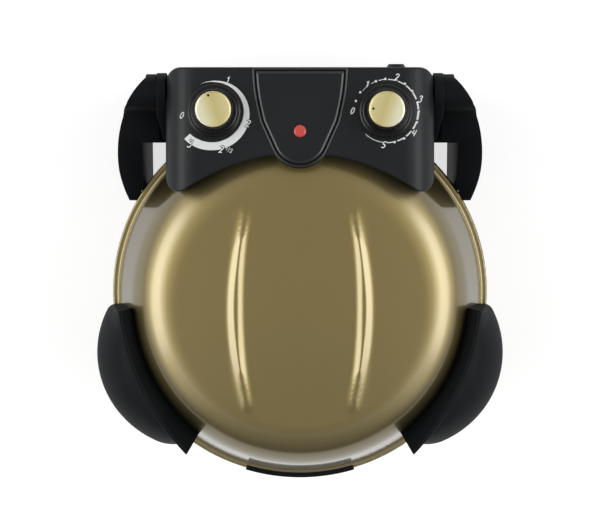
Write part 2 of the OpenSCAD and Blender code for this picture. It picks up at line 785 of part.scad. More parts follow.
module control_housing() {
    color("black") difference() {
        union() {
            difference() {
                housing_form(0, housing_z);
                housing_form(housing_wall, housing_z - cut);
            }
            for (p = floor_screws) screw_boss(p);
        }
        for (p = floor_screws) translate([p[0], p[1], housing_z]) cylinder(r = 1.7, h = 14, $fn = 24);
        lid_form(-0.3, skirt_z);
        for (side = [-1, 1]) on_panel(side * knob_x, knob_y)
            cylinder(r = shaft_r + 1, h = 20, center = true, $fn = 48);
        lamp_place() cylinder(r = lamp_r + 0.3, h = 30, center = true, $fn = 48);
        gland_place() cylinder(r = gland_r + 0.1, h = 20, center = true, $fn = 48);
        translate([0, hinge_y, hinge_z]) rotate([0, 90, 0]) cylinder(r = pin_r + 1, h = 300, center = true, $fn = 48);
    }
}

// Boss from the panel down to the floor, with a gusset to the rear wall
module screw_boss(p) {
    wall_y = housing_rear - housing_wall / 2;
    low = housing_z + 2 + seat;
    intersection() {
        union() {
            translate([p[0], p[1], low]) cylinder(r1 = 4, r2 = 4.6, h = 60);
            translate([p[0] - 1, p[1], low + 12]) cube([2, wall_y - p[1], 60]);
        }
        housing_form(housing_wall / 2, housing_z - cut);
    }
}

// Floor of the housing behind the lid
module housing_floor() {
    t = 2;
    color("dimgray") difference() {
        linear_extrude_between(housing_z, housing_z + t) housing_plan(housing_wall + seat);
        lid_form(-0.8, skirt_z);
        for (p = floor_screws) translate([p[0], p[1], 0]) cylinder(r = 1.8, h = 200, $fn = 24);
    }
}

module linear_extrude_between(z0, z1) {
    translate([0, 0, z0]) linear_extrude(z1 - z0) children();
}

floor_screws = [for (x = [-104, -44, 44, 104]) [x, housing_rear - 12]];

module housing_screws() {
    color("silver") for (p = floor_screws) translate([p[0], p[1], housing_z]) {
        translate([0, 0, -2]) cylinder(r = 3, h = 2, $fn = 24);
        cylinder(r = 1.6, h = 10, $fn = 24);
    }
}

// Raised fascia with the pilot lamp, narrowing to the tongue
side_r = 172.5;
rear_half = 40.7;
fascia_c = [rear_half - side_r, housing_rear + 2];

function fascia_half(d) = let (
    a1 = -asin((housing_rear + 2 - tongue_y - 4) / side_r),
    a0 = -asin((2 + 0.6 + d) / side_r)) concat(
        arc([0, tongue_y], tongue_r - 1.2 - d, -90, -24, 9),
        arc(fascia_c, side_r - d, a1 + 3, a0, 10));

function fascia_outline(d) = concat(flip(fascia_half(d)), [for (i = [1:len(fascia_half(d)) - 1]) fascia_half(d)[i]]);

module center_fascia() {
    n = len(fascia_outline(0));
    // foot, edge and top of the slope
    steps = [[0, 0.05], [0, 0.6], [fascia_slope * 0.55, fascia_h * 0.62], [fascia_slope, fascia_h]];
    points = [for (s = steps) for (p = fascia_outline(s[0])) [p[0], p[1], panel_at(p[1]) + s[1]]];
    last = (len(steps) - 1) * n;
    color("black") difference() {
        polyhedron(points, concat(
            [[for (i = [n - 1:-1:0]) n - 1 - i]],
            [for (k = [0:len(steps) - 2]) for (i = [0:n - 1]) let (j = (i + 1) % n)
                [k * n + i, k * n + n + i, k * n + n + j, k * n + j]],
            [[for (i = [n - 1:-1:0]) last + i]]), convexity = 6);
        lamp_place() cylinder(r = lamp_r + 0.3, h = 30, center = true);
    }
}

lamp_y = flange_r - 20.7;

module lamp_place() {
    on_panel(0, lamp_y) children();
}

module lamp_lens() {
    color("red") lamp_place() translate([0, 0, fascia_h]) rotate_extrude() polygon(concat(
        [[0, -4], [lamp_r, -4]],
        arc([0, -lamp_r * 1.3], lamp_r * 1.64, 52.6, 90, 8)));
}

module lamp_holder() {
    color("white") lamp_place() translate([0, 0, fascia_h - 4.1 - 8]) cylinder(r = lamp_r - 0.4, h = 8);
}

gland_r = 7;
gland_x = 84;

module gland_place() {
    translate([gland_x, housing_rear, housing_z + 15]) rotate([-90, 0, 0]) children();
}

module cord_gland() {
    back = housing_wall + seat;
    color("dimgray") gland_place() difference() {
        rotate_extrude() polygon([
            [gland_bore, -back - 8], [gland_r - 1, -back - 8], [gland_r, -back - 7], [gland_r, -back - 2],
            [gland_r + 2, -back - 2], [gland_r + 2, -back], [gland_r, -back], [gland_r, seat],
            [gland_r + 1.5, seat], [gland_r - 0.5, gland_out], [gland_bore, gland_out]]);
    }
}

// ---------------------------------------------------------------- hinge on the lid

module knuckle_side() {
    polygon(concat(
        arc([hinge_y, hinge_z], knuckle_r, -90, 90, 24),
        [[hinge_y - knuckle_r * 0.55, hinge_z + knuckle_r * 0.86], [hinge_y - 24, hinge_z + 8],
         [window_y + 3, hinge_z], [window_y + 3, hinge_z - 11], [hinge_y - knuckle_r, hinge_z - 12]]));
}

module hinge_knuckle(side) {
    color("black") mirrored(side) difference() {
        intersection() {
            side_extrude(knuckle_in, knuckle_out) knuckle_side();
            translate([0, 0, hinge_z - 40]) linear_extrude(80) polygon([
                [0, hinge_y + 40], [0, 0], [knuckle_in + 3.6, 0], [knuckle_in + 3.6, window_y + 3],
                [knuckle_out, hinge_y - knuckle_r], [knuckle_out, hinge_y + 40]]);
        }
        translate([0, hinge_y, hinge_z]) rotate([0, 90, 0]) cylinder(r = pin_r + pin_play, h = 200);
    }
}

plate_t = 2;
plate_x = housing_x - 20.5;

// Steel plate from the skirt of the lid back to the hinge pin
module hinge_plate(side) {
    low = housing_z + 3.2;
    color("silver") mirrored(side) difference() {
        union() {
            side_extrude(plate_x, plate_x + plate_t) polygon(concat(
                arc([hinge_y, hinge_z], 12, -90, 90, 16),
                [[hinge_y - 30, hinge_z + 12], [flange_r - 62, skirt_top_z + 5], [flange_r - 62, low],
                 [hinge_y - 12, low]]));
            // flange that is welded to the skirt
            intersection() {
                translate([plate_x - 12, 90, low]) cube([13, 60, skirt_top_z - low]);
                difference() {
                    lid_form(-2, skirt_z - 10);
                    lid_form(-seat, skirt_z - 12);
                }
            }
        }
        lid_form(-seat, skirt_z - 12);
        translate([0, hinge_y, hinge_z]) rotate([0, 90, 0]) cylinder(r = pin_r + pin_play, h = 200);
    }
}

// ---------------------------------------------------------------- controls

module shaft_bore(h) {
    cylinder(r = shaft_r + shaft_play, h = h, center = true, $fn = 48);
}

module thermostat_body() {
    color("burlywood") on_panel(-knob_x, knob_y) difference() {
        union() {
            translate([0, 0, -housing_wall - 4.2]) cylinder(r = 9, h = 4);
            translate([-17, -15, -housing_wall - 20]) cube([34, 30, 15.8]);
            for (x = [-10, 10]) translate([x - 3, -0.5, -housing_wall - 26]) cube([6, 1, 6.1]);
        }
        shaft_bore(80);
    }
}

module timer_body() {
    color("gainsboro") on_panel(knob_x, knob_y) difference() {
        union() {
            translate([0, 0, -housing_wall - 4.2]) cylinder(r = 10, h = 4);
            translate([0, 0, -housing_wall - 22]) cylinder(r = 21, h = 17.8);
        }
        shaft_bore(36);
    }
}

module timer_bell() {
    color("gold") on_panel(knob_x, knob_y) translate([0, 0, -housing_wall - 22.1]) mirror([0, 0, 1])
        rotate_extrude() polygon([[0, 0], [4, 0], [4, 3], [15, 3], [15, 1.4], [16, 1.4], [16, 4], [0, 4]]);
}

shaft_deep = 14;

module knob_shaft(side) {
    color("silver") on_panel(side * knob_x, knob_y) translate([0, 0, -housing_wall - shaft_deep]) difference() {
        cylinder(r = shaft_r, h = housing_wall + shaft_deep + knob_gap + knob_h * 0.55, $fn = 48);
        translate([shaft_r - 1, -10, housing_wall + shaft_deep + knob_gap]) cube([20, 20, 40]);
    }
}

module knob(side) {
    color("black") on_panel(side * knob_x, knob_y) translate([0, 0, knob_gap]) difference() {
        rotate_extrude() polygon([
            [0, 0], [knob_r - 0.6, 0], [knob_r, 0.6], [knob_r, 3.4], [knob_r - 1, 4.6], [cap_r + 4, 6.2],
            [cap_r + 2.6, 7.6], [cap_r + 1.6, knob_h - 1.2], [cap_r + 0.8, knob_h], [cap_r + 0.15, knob_h],
            [cap_r + 0.15, knob_h - 1.6], [0, knob_h - 1.6]]);
        translate([0, 0, -cut]) difference() {
            cylinder(r = shaft_r + 0.05, h = knob_h * 0.55 + 2 * cut, $fn = 48);
            translate([shaft_r - 0.95, -10, -cut]) cube([20, 20, 60]);
        }
        // the knob is hollow round the hub
        translate([0, 0, -cut]) difference() {
            cylinder(r = cap_r - 0.8, h = knob_h * 0.55);
            translate([0, 0, -cut]) cylinder(r = shaft_r + 3, h = knob_h);
        }
    }
}

module knob_cap(side) {
    color("khaki") on_panel(side * knob_x, knob_y) translate([0, 0, knob_gap + knob_h - 1.55]) rotate_extrude()
        polygon([[0, 0], [cap_r, 0], [cap_r, 1.7], [cap_r - 0.5, 2.1], [cap_r - 1.4, 2.1],
            [cap_r * 0.5, 1.6], [0, 1.4]]);
}

placed() base_pan();
placed() lower_reflector();
placed() lower_element();
placed() lower_element_clips();
placed() stone_ring();
placed() pizza_stone();
placed() front_trim_bar();
placed() front_foot(-1);  // front_foot_left
placed() front_foot(1);  // front_foot_right
placed() foot_pads();
placed() rear_support(-1);  // rear_support_left
placed() rear_support(1);  // rear_support_right
placed() hinge_pin(-1);  // hinge_pin_left
placed() hinge_pin(1);  // hinge_pin_right
placed() terminal_cover();
placed() lower_terminals();
placed() base_screws();
placed() lid_shell();
placed() lid_reflector();
placed() upper_element();
placed() upper_element_clips();
placed() upper_terminals();
placed() handle(-1);  // handle_left
placed() handle(1);  // handle_right
placed() handle_screws();
placed() hinge_knuckle(-1);  // hinge_knuckle_left
placed() hinge_knuckle(1);  // hinge_knuckle_right
placed() hinge_plate(-1);  // hinge_plate_left
placed() hinge_plate(1);  // hinge_plate_right
placed() control_housing();
placed() housing_floor();
placed() housing_screws();
placed() center_fascia();
placed() lamp_lens();
placed() lamp_holder();
placed() cord_gland();
placed() thermostat_body();
placed() knob_shaft(-1);  // thermostat_shaft
placed() knob(-1);  // thermostat_knob
placed() knob_cap(-1);  // thermostat_cap
placed() timer_body();
placed() timer_bell();
placed() knob_shaft(1);  // timer_shaft
placed() knob(1);  // timer_knob
placed() knob_cap(1);  // timer_cap
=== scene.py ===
# Looks of the electric pizza maker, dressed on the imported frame.
# Sizes are in millimetres and counted from the axis of the stone, as in the construction,
# until P() turns them into metres in the shared frame.
import bpy
import bmesh
import json
from math import acos, asin, atan2, cos, degrees, pi, radians, sin, sqrt, tan
from mathutils import Vector, Matrix


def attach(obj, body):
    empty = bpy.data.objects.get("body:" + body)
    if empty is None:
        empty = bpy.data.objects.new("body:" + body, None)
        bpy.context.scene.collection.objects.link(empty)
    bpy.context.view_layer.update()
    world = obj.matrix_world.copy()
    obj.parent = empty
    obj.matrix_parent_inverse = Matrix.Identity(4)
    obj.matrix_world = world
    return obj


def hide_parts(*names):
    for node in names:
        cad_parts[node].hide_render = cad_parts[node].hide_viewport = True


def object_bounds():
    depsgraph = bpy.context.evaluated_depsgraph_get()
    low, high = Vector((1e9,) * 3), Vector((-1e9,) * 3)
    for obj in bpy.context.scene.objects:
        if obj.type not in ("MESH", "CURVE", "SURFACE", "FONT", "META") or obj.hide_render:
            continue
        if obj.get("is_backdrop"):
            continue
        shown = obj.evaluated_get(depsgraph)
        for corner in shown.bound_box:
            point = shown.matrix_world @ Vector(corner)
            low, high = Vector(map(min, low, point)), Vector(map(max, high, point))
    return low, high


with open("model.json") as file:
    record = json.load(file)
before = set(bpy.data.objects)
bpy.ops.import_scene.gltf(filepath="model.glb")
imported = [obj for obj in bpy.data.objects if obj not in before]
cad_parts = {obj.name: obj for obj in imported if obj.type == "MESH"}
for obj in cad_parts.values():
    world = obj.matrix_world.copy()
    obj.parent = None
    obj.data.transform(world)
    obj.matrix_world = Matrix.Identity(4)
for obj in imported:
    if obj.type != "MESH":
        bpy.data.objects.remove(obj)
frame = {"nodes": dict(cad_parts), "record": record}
cad_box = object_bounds()
cad = frame["nodes"]
scene = bpy.context.scene

# ---------------------------------------------------------------- sizes shared with the solids

FY = 17.65                                      # stone's axis behind the footprint's middle
FLANGE_R = 172.5                                # rim of the base
SHEET = 1.2                                     # metal of the lid
BEAD_R, BEAD_OUT, BEAD_Z = 2.4, 168.4, 78.8     # rolled edge of the lid
SKIRT_R, SKIRT_Z, SKIRT_H = 165.0, 82.0, 31.0   # steep side of the lid
LEAN = radians(24.3)                            # how far that side leans in
SHOULDER_R, TILT = 50.0, radians(3)             # curve above it, and slope at the crown's edge
HINGE_Y, HINGE_Z = 184.0, 115.0
HOUSING_X, HOUSING_REAR, HOUSING_Z = 116.2, 206.2, 98.0     # half width, rear, underside
KNOB_X, KNOB_Y = 73.0, 168.5
PANEL_Z, PANEL_TILT = 149.0, radians(8)         # panel at the knobs, and its slope


def P(x, y, z):
    """A point in metres in the shared frame."""
    return Vector((x / 1000, (y - FY) / 1000, z / 1000))


# ---------------------------------------------------------------- materials

def nodes_of(name):
    """A new material, its node tree and its shader."""
    m = bpy.data.materials.new(name)
    m.use_nodes = True
    nt = m.node_tree
    return m, nt, nt.nodes["Principled BSDF"]


def noise(nt, scale, detail=3.0, rough=0.55):
    n = nt.nodes.new("ShaderNodeTexNoise")
    n.inputs["Scale"].default_value = scale
    n.inputs["Detail"].default_value = detail
    n.inputs["Roughness"].default_value = rough
    coords = nt.nodes.new("ShaderNodeTexCoord")
    nt.links.new(coords.outputs["Object"], n.inputs["Vector"])
    return n.outputs["Fac"]


def ramp(nt, fac, stops):
    r = nt.nodes.new("ShaderNodeValToRGB")
    els = r.color_ramp.elements
    while len(els) < len(stops):
        els.new(0.5)
    for e, (pos, col) in zip(els, stops):
        e.position = pos
        e.color = (*col, 1)
    nt.links.new(fac, r.inputs["Fac"])
    return r.outputs["Color"]


def value_range(nt, fac, lo, hi, a=0.3, b=0.7):
    """fac between a and b turned into a value between lo and hi."""
    m = nt.nodes.new("ShaderNodeMapRange")
    m.inputs["From Min"].default_value = a
    m.inputs["From Max"].default_value = b
    m.inputs["To Min"].default_value = lo
    m.inputs["To Max"].default_value = hi
    nt.links.new(fac, m.inputs["Value"])
    return m.outputs["Result"]


def multiply(nt, fac, first, second):
    mix = nt.nodes.new("ShaderNodeMixRGB")
    mix.blend_type = "MULTIPLY"
    mix.inputs["Fac"].default_value = fac
    nt.links.new(first, mix.inputs["Color1"])
    nt.links.new(second, mix.inputs["Color2"])
    return mix.outputs["Color"]


def bump(nt, bsdf, height, strength, distance):
    b = nt.nodes.new("ShaderNodeBump")
    b.inputs["Strength"].default_value = strength
    b.inputs["Distance"].default_value = distance
    nt.links.new(height, b.inputs["Height"])
    nt.links.new(b.outputs["Normal"], bsdf.inputs["Normal"])


def surface(name, dark, light, rough, scale, metallic=0.0, coat=0.0, coat_rough=0.05,
            coat_ior=1.5, fine=1500, bump_s=0.1, bump_d=0.0001, ior=1.5, level=0.5):
    """Two close colours in a broad noise, with roughness and bump in a fine one."""
    m, nt, b = nodes_of(name)
    shades = ramp(nt, noise(nt, scale), [(0.3, dark), (0.7, light)])
    nt.links.new(shades, b.inputs["Base Color"])
    small = noise(nt, fine, 2.0)
    nt.links.new(value_range(nt, small, rough[0], rough[1]), b.inputs["Roughness"])
    bump(nt, b, small, bump_s, bump_d)
    b.inputs["Metallic"].default_value = metallic
    b.inputs["IOR"].default_value = ior
    b.inputs["Specular IOR Level"].default_value = level
    b.inputs["Coat Weight"].default_value = coat
    b.inputs["Coat Roughness"].default_value = coat_rough
    b.inputs["Coat IOR"].default_value = coat_ior
    return m


def gold_material():
    """Gold lacquer over metal, with painted reflections that follow the surface's facing."""
    m, nt, b = nodes_of("gold_lacquer")
    weight = nt.nodes.new("ShaderNodeLayerWeight")
    weight.inputs["Blend"].default_value = 0.5
    # Painted highlight ring near facing 0.12, and painted shade in dark bands from 0.33 to the rim.
    turn = ramp(nt, weight.outputs["Facing"],
                [(0.0, (0.63, 0.57, 0.31)), (0.06, (0.7, 0.65, 0.41)),
                 (0.12, (0.88, 0.86, 0.72)), (0.21, (0.76, 0.74, 0.58)),
                 (0.33, (0.35, 0.33, 0.225)), (0.44, (0.36, 0.34, 0.22)),
                 (0.6, (0.3, 0.29, 0.22)), (1.0, (0.2, 0.19, 0.15))])
    tint = ramp(nt, noise(nt, 6), [(0.3, (0.48, 0.4, 0.235)), (0.7, (0.51, 0.425, 0.25))])
    nt.links.new(multiply(nt, 1.0, tint, turn), b.inputs["Base Color"])
    small = noise(nt, 5000, 2.0)
    nt.links.new(value_range(nt, small, 0.44, 0.5), b.inputs["Roughness"])
    bump(nt, b, small, 0.05, 0.00003)
    b.inputs["Metallic"].default_value = 1.0
    b.inputs["Coat Weight"].default_value = 1.0
    b.inputs["Coat Roughness"].default_value = 0.1
    b.inputs["Coat IOR"].default_value = 1.56
    return m


def stone_material():
    m, nt, b = nodes_of("cordierite_stone")
    grain = noise(nt, 420, 5, 0.7)
    broad = ramp(nt, noise(nt, 14, 4), [(0.3, (0.55, 0.44, 0.3)), (0.7, (0.68, 0.57, 0.42))])
    specks = ramp(nt, grain, [(0.35, (0.55, 0.5, 0.45)), (0.6, (1, 1, 1))])
    nt.links.new(multiply(nt, 0.5, broad, specks), b.inputs["Base Color"])
    nt.links.new(value_range(nt, grain, 0.8, 0.95), b.inputs["Roughness"])
    bump(nt, b, grain, 0.5, 0.0004)
    return m


def lamp_material():
    m, nt, b = nodes_of("red_lens")
    n = noise(nt, 300, 2)
    nt.links.new(ramp(nt, n, [(0.3, (0.5, 0.045, 0.03)), (0.7, (0.58, 0.06, 0.045))]),
                 b.inputs["Base Color"])
    nt.links.new(value_range(nt, n, 0.1, 0.18), b.inputs["Roughness"])
    b.inputs["Emission Color"].default_value = (0.9, 0.08, 0.05, 1)
    b.inputs["Emission Strength"].default_value = 0.06
    b.inputs["Coat Weight"].default_value = 1.0
    return m


def cap_material():
    """Turned pale metal, with a painted highlight on the side away from the panel's middle."""
    m, nt, b = nodes_of("turned_pale_gold_painted_sheen")
    slant, half = 0.35, 0.0152      # lean of the shade across a cap, and a cap's radius in metres
    coords = nt.nodes.new("ShaderNodeTexCoord")
    split = nt.nodes.new("ShaderNodeSeparateXYZ")
    nt.links.new(coords.outputs["Object"], split.inputs[0])
    aside = nt.nodes.new("ShaderNodeMath")
    aside.operation = "ABSOLUTE"
    nt.links.new(split.outputs["X"], aside.inputs[0])
    lean = nt.nodes.new("ShaderNodeMath")
    lean.operation = "MULTIPLY_ADD"
    nt.links.new(split.outputs["Y"], lean.inputs[0])
    lean.inputs[1].default_value = -slant
    nt.links.new(aside.outputs[0], lean.inputs[2])
    mid = KNOB_X / 1000 - slant * (KNOB_Y - FY) / 1000
    across = value_range(nt, lean.outputs[0], 0, 1, mid - half, mid + half)
    # Painted highlight and painted shade across each cap: light at the outer side, darker inward.
    shades = ramp(nt, across, [(0.0, (0.85, 0.76, 0.42)), (0.4, (0.76, 0.66, 0.3)),
                               (0.58, (0.86, 0.77, 0.42)), (0.8, (0.98, 0.95, 0.7)),
                               (1.0, (1.0, 0.99, 0.8))])
    nt.links.new(shades, b.inputs["Base Color"])
    nt.links.new(value_range(nt, noise(nt, 3000, 2), 0.48, 0.56), b.inputs["Roughness"])
    b.inputs["Metallic"].default_value = 1.0
    return m


# The black plastics shine through a thin coat, which keeps them dark at a grazing angle.
MAT = {
    "gold": gold_material(),
    "black": surface("satin_black_plastic", (0.0088, 0.0102, 0.0114), (0.0115, 0.0132, 0.0144),
                     (0.34, 0.42), 30, fine=2600, bump_s=0.12, bump_d=0.00005, level=0.0,
                     coat=0.55, coat_rough=0.36, coat_ior=1.5),
    "grip": surface("satin_black_grip", (0.0052, 0.0062, 0.0074), (0.0072, 0.0082, 0.0096),
                    (0.44, 0.52), 30, fine=2600, bump_s=0.12, bump_d=0.00005, level=0.0,
                    coat=0.3, coat_rough=0.42, coat_ior=1.4),
    "knob": surface("gloss_black_plastic", (0.006, 0.006, 0.007), (0.009, 0.009, 0.01),
                    (0.2, 0.26), 40, fine=2200, bump_s=0.03, bump_d=0.00003, ior=1.36),
    "bright": surface("bright_sheet", (0.62, 0.62, 0.61), (0.72, 0.72, 0.71), (0.22, 0.34), 30,
                      metallic=1.0, fine=900, bump_s=0.06),
    "element": surface("element_oxide", (0.055, 0.05, 0.047), (0.12, 0.11, 0.1), (0.5, 0.65), 160,
                       metallic=0.85, fine=1800, bump_s=0.25),
    "zinc": surface("zinc_steel", (0.5, 0.51, 0.52), (0.62, 0.62, 0.61), (0.28, 0.4), 120,
                    metallic=1.0, bump_s=0.08, bump_d=0.00005),
    "rubber": surface("pad_rubber", (0.018, 0.018, 0.018), (0.03, 0.03, 0.03), (0.7, 0.85), 80,
                      fine=2500, bump_s=0.3),
    "ceramic": surface("white_ceramic", (0.72, 0.7, 0.66), (0.8, 0.79, 0.75), (0.15, 0.25), 60,
                       fine=900, bump_s=0.04),
    "cream": surface("inner_moulding", (0.55, 0.52, 0.45), (0.62, 0.59, 0.52), (0.4, 0.5), 60,
                     bump_s=0.08),
    "brass": surface("bell_brass", (0.6, 0.45, 0.18), (0.7, 0.54, 0.25), (0.2, 0.3), 60,
                     metallic=1.0, bump_s=0.05),
    "stone": stone_material(),
    "lamp": lamp_material(),
    "cap": cap_material(),
    "print": surface("screen_print", (0.76, 0.77, 0.77), (0.82, 0.83, 0.83), (0.5, 0.6), 200,
                     fine=3000, bump_s=0.05, bump_d=0.00002),
    # Darker black for the rims of the print and, as painted shade, for the fascia's groove.
    "gap": surface("dull_black_print_and_painted_shade", (0.004, 0.004, 0.005), (0.006, 0.006, 0.007), (0.5, 0.6), 60,
                   fine=2600, bump_s=0.05, bump_d=0.00003, ior=1.25),
    # Glossier and a little lighter than the black, for the fascia's edges: partly painted highlight.
    "edge": surface("polished_edge_painted_highlight", (0.016, 0.017, 0.018), (0.02, 0.021, 0.022), (0.26, 0.32), 60,
                    fine=2600, bump_s=0.05, bump_d=0.00003, ior=1.62),
}

SLOT_MATERIAL = {"gold_lacquer": "gold", "black_plastic": "black", "knob_black": "knob",
                 "cap_gold": "cap", "bright_sheet": "bright", "element_steel": "element",
                 "zinc_steel": "zinc", "baking_stone": "stone", "pad_rubber": "rubber",
                 "ceramic": "ceramic", "lamp_red": "lamp", "inner_plastic": "cream",
                 "bell_brass": "brass"}
for part in frame["record"]["subparts"]:
    mesh = cad[part["node"]].data
    mesh.materials.clear()
    mesh.materials.append(MAT[SLOT_MATERIAL[part["material_slot"]]])


# ---------------------------------------------------------------- mesh helpers

def plain_object(name, verts, faces):
    """An object without looks, from points in millimetres."""
    me = bpy.data.meshes.new(name)
    me.from_pydata([P(*v) for v in verts], [], faces)
    bm = bmesh.new()
    bm.from_mesh(me)
    bmesh.ops.remove_doubles(bm, verts=bm.verts, dist=1e-6)
    bmesh.ops.recalc_face_normals(bm, faces=bm.faces)
    bm.to_mesh(me)
    bm.free()
    ob = bpy.data.objects.new(name, me)
    scene.collection.objects.link(ob)
    return ob


def finish_piece(ob, name, body, mat, replaces=(), angle=None):
    """Name, material, shading and place in the frame. Edges over the angle stay sharp."""
    ob.name = name
    me = ob.data
    me.materials.clear()
    me.materials.append(MAT[mat])
    for p in me.polygons:
        p.material_index = 0
    me.shade_smooth()
    if angle is not None:
        me.set_sharp_from_angle(angle=radians(angle))
    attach(ob, body)
    if replaces:
        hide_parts(*replaces)
    return ob


def make(name, verts, faces, body, mat, slot, replaces=(), angle=None):
    return finish_piece(plain_object(name, verts, faces), name, body, mat, replaces, angle)


def arc(c, r, a0, a1, n):
    """n + 1 points about c, from angle a0 to a1."""
    turns = [radians(a0 + (a1 - a0) * i / n) for i in range(n + 1)]
    return [(c[0] + r * cos(a), c[1] + r * sin(a)) for a in turns]


def revolve_points(profile, segs):
    """Verts and faces of a profile (r, z) turned about the upright axis."""
    verts = []
    for r, z in profile:
        for j in range(segs):
            a = radians(360 * j / segs)
            verts.append((r * cos(a), r * sin(a), z))
    faces = []
    for i in range(len(profile) - 1):
        for j in range(segs):
            k = (j + 1) % segs
            faces.append((i * segs + j, i * segs + k, (i + 1) * segs + k, (i + 1) * segs + j))
    return verts, faces


def loft(sections):
    """Faces of a closed solid through sections that have equal numbers of points."""
    n = len(sections[0])
    verts = [p for s in sections for p in s]
    faces = [tuple(range(n)), tuple(len(verts) - 1 - i for i in range(n))]
    for k in range(len(sections) - 1):
        for i in range(n):
            j = (i + 1) % n
            faces.append((k * n + i, k * n + n + i, k * n + n + j, k * n + j))
    return verts, faces


def tube(centre, direction, r, h, segs=48):
    """A plain cylinder about centre, used to cut holes and to form bosses."""
    z = Vector(direction).normalized()
    x = z.orthogonal().normalized()
    y = z.cross(x)
    c = Vector(centre)
    verts = []
    for k in (-0.5, 0.5):
        for j in range(segs):
            a = 2 * pi * j / segs
            verts.append(tuple(c + z * (h * k) + x * (r * cos(a)) + y * (r * sin(a))))
    faces = [tuple(range(segs)), tuple(range(2 * segs - 1, segs - 1, -1))]
    faces += [(j, (j + 1) % segs, segs + (j + 1) % segs, segs + j) for j in range(segs)]
    return plain_object("cutter", verts, faces)


def apply_modifiers(ob):
    bpy.context.view_layer.update()
    shown = ob.evaluated_get(bpy.context.evaluated_depsgraph_get())
    done = bpy.data.meshes.new_from_object(shown)
    ob.modifiers.clear()
    ob.data = done


def combine(ob, others, operation="DIFFERENCE", solver="MANIFOLD"):
    """Join the others to ob, or cut them from it, and remove them."""
    for other in others:
        m = ob.modifiers.new("join", "BOOLEAN")
        m.operation = operation
        m.solver = solver
        m.object = other
    apply_modifiers(ob)
    for other in others:
        bpy.data.objects.remove(other)
    return ob


# ---------------------------------------------------------------- lid

skirt_top = (SKIRT_R - SKIRT_H * tan(LEAN), SKIRT_Z + SKIRT_H)
shoulder_c = (skirt_top[0] - SHOULDER_R * cos(LEAN), skirt_top[1] - SHOULDER_R * sin(LEAN))
crown_edge = (shoulder_c[0] + SHOULDER_R * sin(TILT), shoulder_c[1] + SHOULDER_R * cos(TILT))
crown_r = crown_edge[0] / sin(TILT)
crown_c = crown_edge[1] - crown_r * cos(TILT)
crown_z = crown_c + crown_r

RIB_LEN, RIB_X, RIB_W, RIB_H = 167.0, 63.7, 15.3, 3.2   # length, outermost x, width, height
RIB_SLOPE, RIB_Y = tan(radians(27)), -4.0
RIB_HALF = RIB_LEN / 2
BOW_OUT, BOW_IN = RIB_W - 0.5, 3.7                      # bow of a rib's two sides
RIB_FIELD = (30, 75, 95)                                # all of a rib: x from, x to, y to
RIB_OUT = (RIB_HALF ** 2 + BOW_OUT ** 2) / (2 * BOW_OUT)
RIB_IN = (RIB_HALF ** 2 + BOW_IN ** 2) / (2 * BOW_IN)


def smax(a, b, k):
    """The larger of a and b, blended over k."""
    h = max(k - abs(a - b), 0) / k
    return max(a, b) + h * h * k / 4


def smin(a, b, k):
    return -smax(-a, -b, k)


def rib_rise(x, y, base):
    """Height of the shell with its embossed ribs above the plain crown."""
    x, y = abs(x), y - RIB_Y
    d_out = RIB_OUT - sqrt((x - RIB_X + RIB_OUT) ** 2 + y * y)
    d_in = sqrt((x - RIB_X + RIB_W + RIB_IN) ** 2 + y * y) - RIB_IN
    d_end = (RIB_HALF + 1 - abs(y)) * 0.6
    d = smin(smin(d_out, d_in, 0.8), d_end, 2.0)
    top = crown_z - 0.9 + smin(RIB_H, RIB_SLOPE * d, 0.5)
    return smax(base, top, 1.1)


def lid_mesh():
    """Crown, shoulder, skirt and bead, then back up inside; rings are dense where the ribs are."""
    segs = 480
    radii = [0.0] + [2 + 4 * i for i in range(8)] + [33 + 0.9 * i for i in range(51)]
    radii += [80, 83, 86, 90, 94, 98, 102, 105]
    rows = [(r, crown_c + sqrt(crown_r ** 2 - r * r)) for r in radii]
    rows += arc(shoulder_c, SHOULDER_R, 87, degrees(LEAN), 36)
    heights = [SKIRT_H * (1 - k / 5) for k in range(1, 6)]
    rows += [(SKIRT_R - h * tan(LEAN), SKIRT_Z + h) for h in heights]
    rows += [(SKIRT_R + 0.1, SKIRT_Z - 0.5)]
    rows += arc((BEAD_OUT - BEAD_R, BEAD_Z), BEAD_R, 100, -180, 24)
    inner_r = SKIRT_R - SHEET / cos(LEAN)
    rows += [(inner_r + 0.6, SKIRT_Z - 1.5), (inner_r, SKIRT_Z)]
    rows += arc(shoulder_c, SHOULDER_R - SHEET, degrees(LEAN), 87, 12)
    rows += [(r, crown_c + sqrt((crown_r - SHEET) ** 2 - r * r)) for r in (80, 40, 0.0)]
    verts, faces = revolve_points(rows, segs)
    near, far, reach = RIB_FIELD
    for i, (x, y, z) in enumerate(verts[:len(radii) * segs]):
        if near < abs(x) < far and abs(y) < reach:
            verts[i] = (x, y, rib_rise(x, y, z))
    return make("lid_dome", verts, faces, "lid", "gold", "gold_lacquer", ["lid_shell"])


def lid_cutter(gap):
    """Solid inside the lid's outer face, grown by gap, to trim what sits on the lid."""
    bottom = SKIRT_Z - 12
    rows = [(0.0, bottom), (SKIRT_R + gap, bottom), (SKIRT_R + gap, SKIRT_Z),
            (skirt_top[0] + gap, skirt_top[1])]
    rows += arc(shoulder_c, SHOULDER_R + gap, degrees(LEAN) + 2, 87, 24)
    rows += [(r, crown_c + sqrt((crown_r + gap) ** 2 - r * r)) for r in (80, 40, 0.0)]
    return plain_object("cutter", *revolve_points(rows, 240))


lid_mesh()

# ---------------------------------------------------------------- control housing

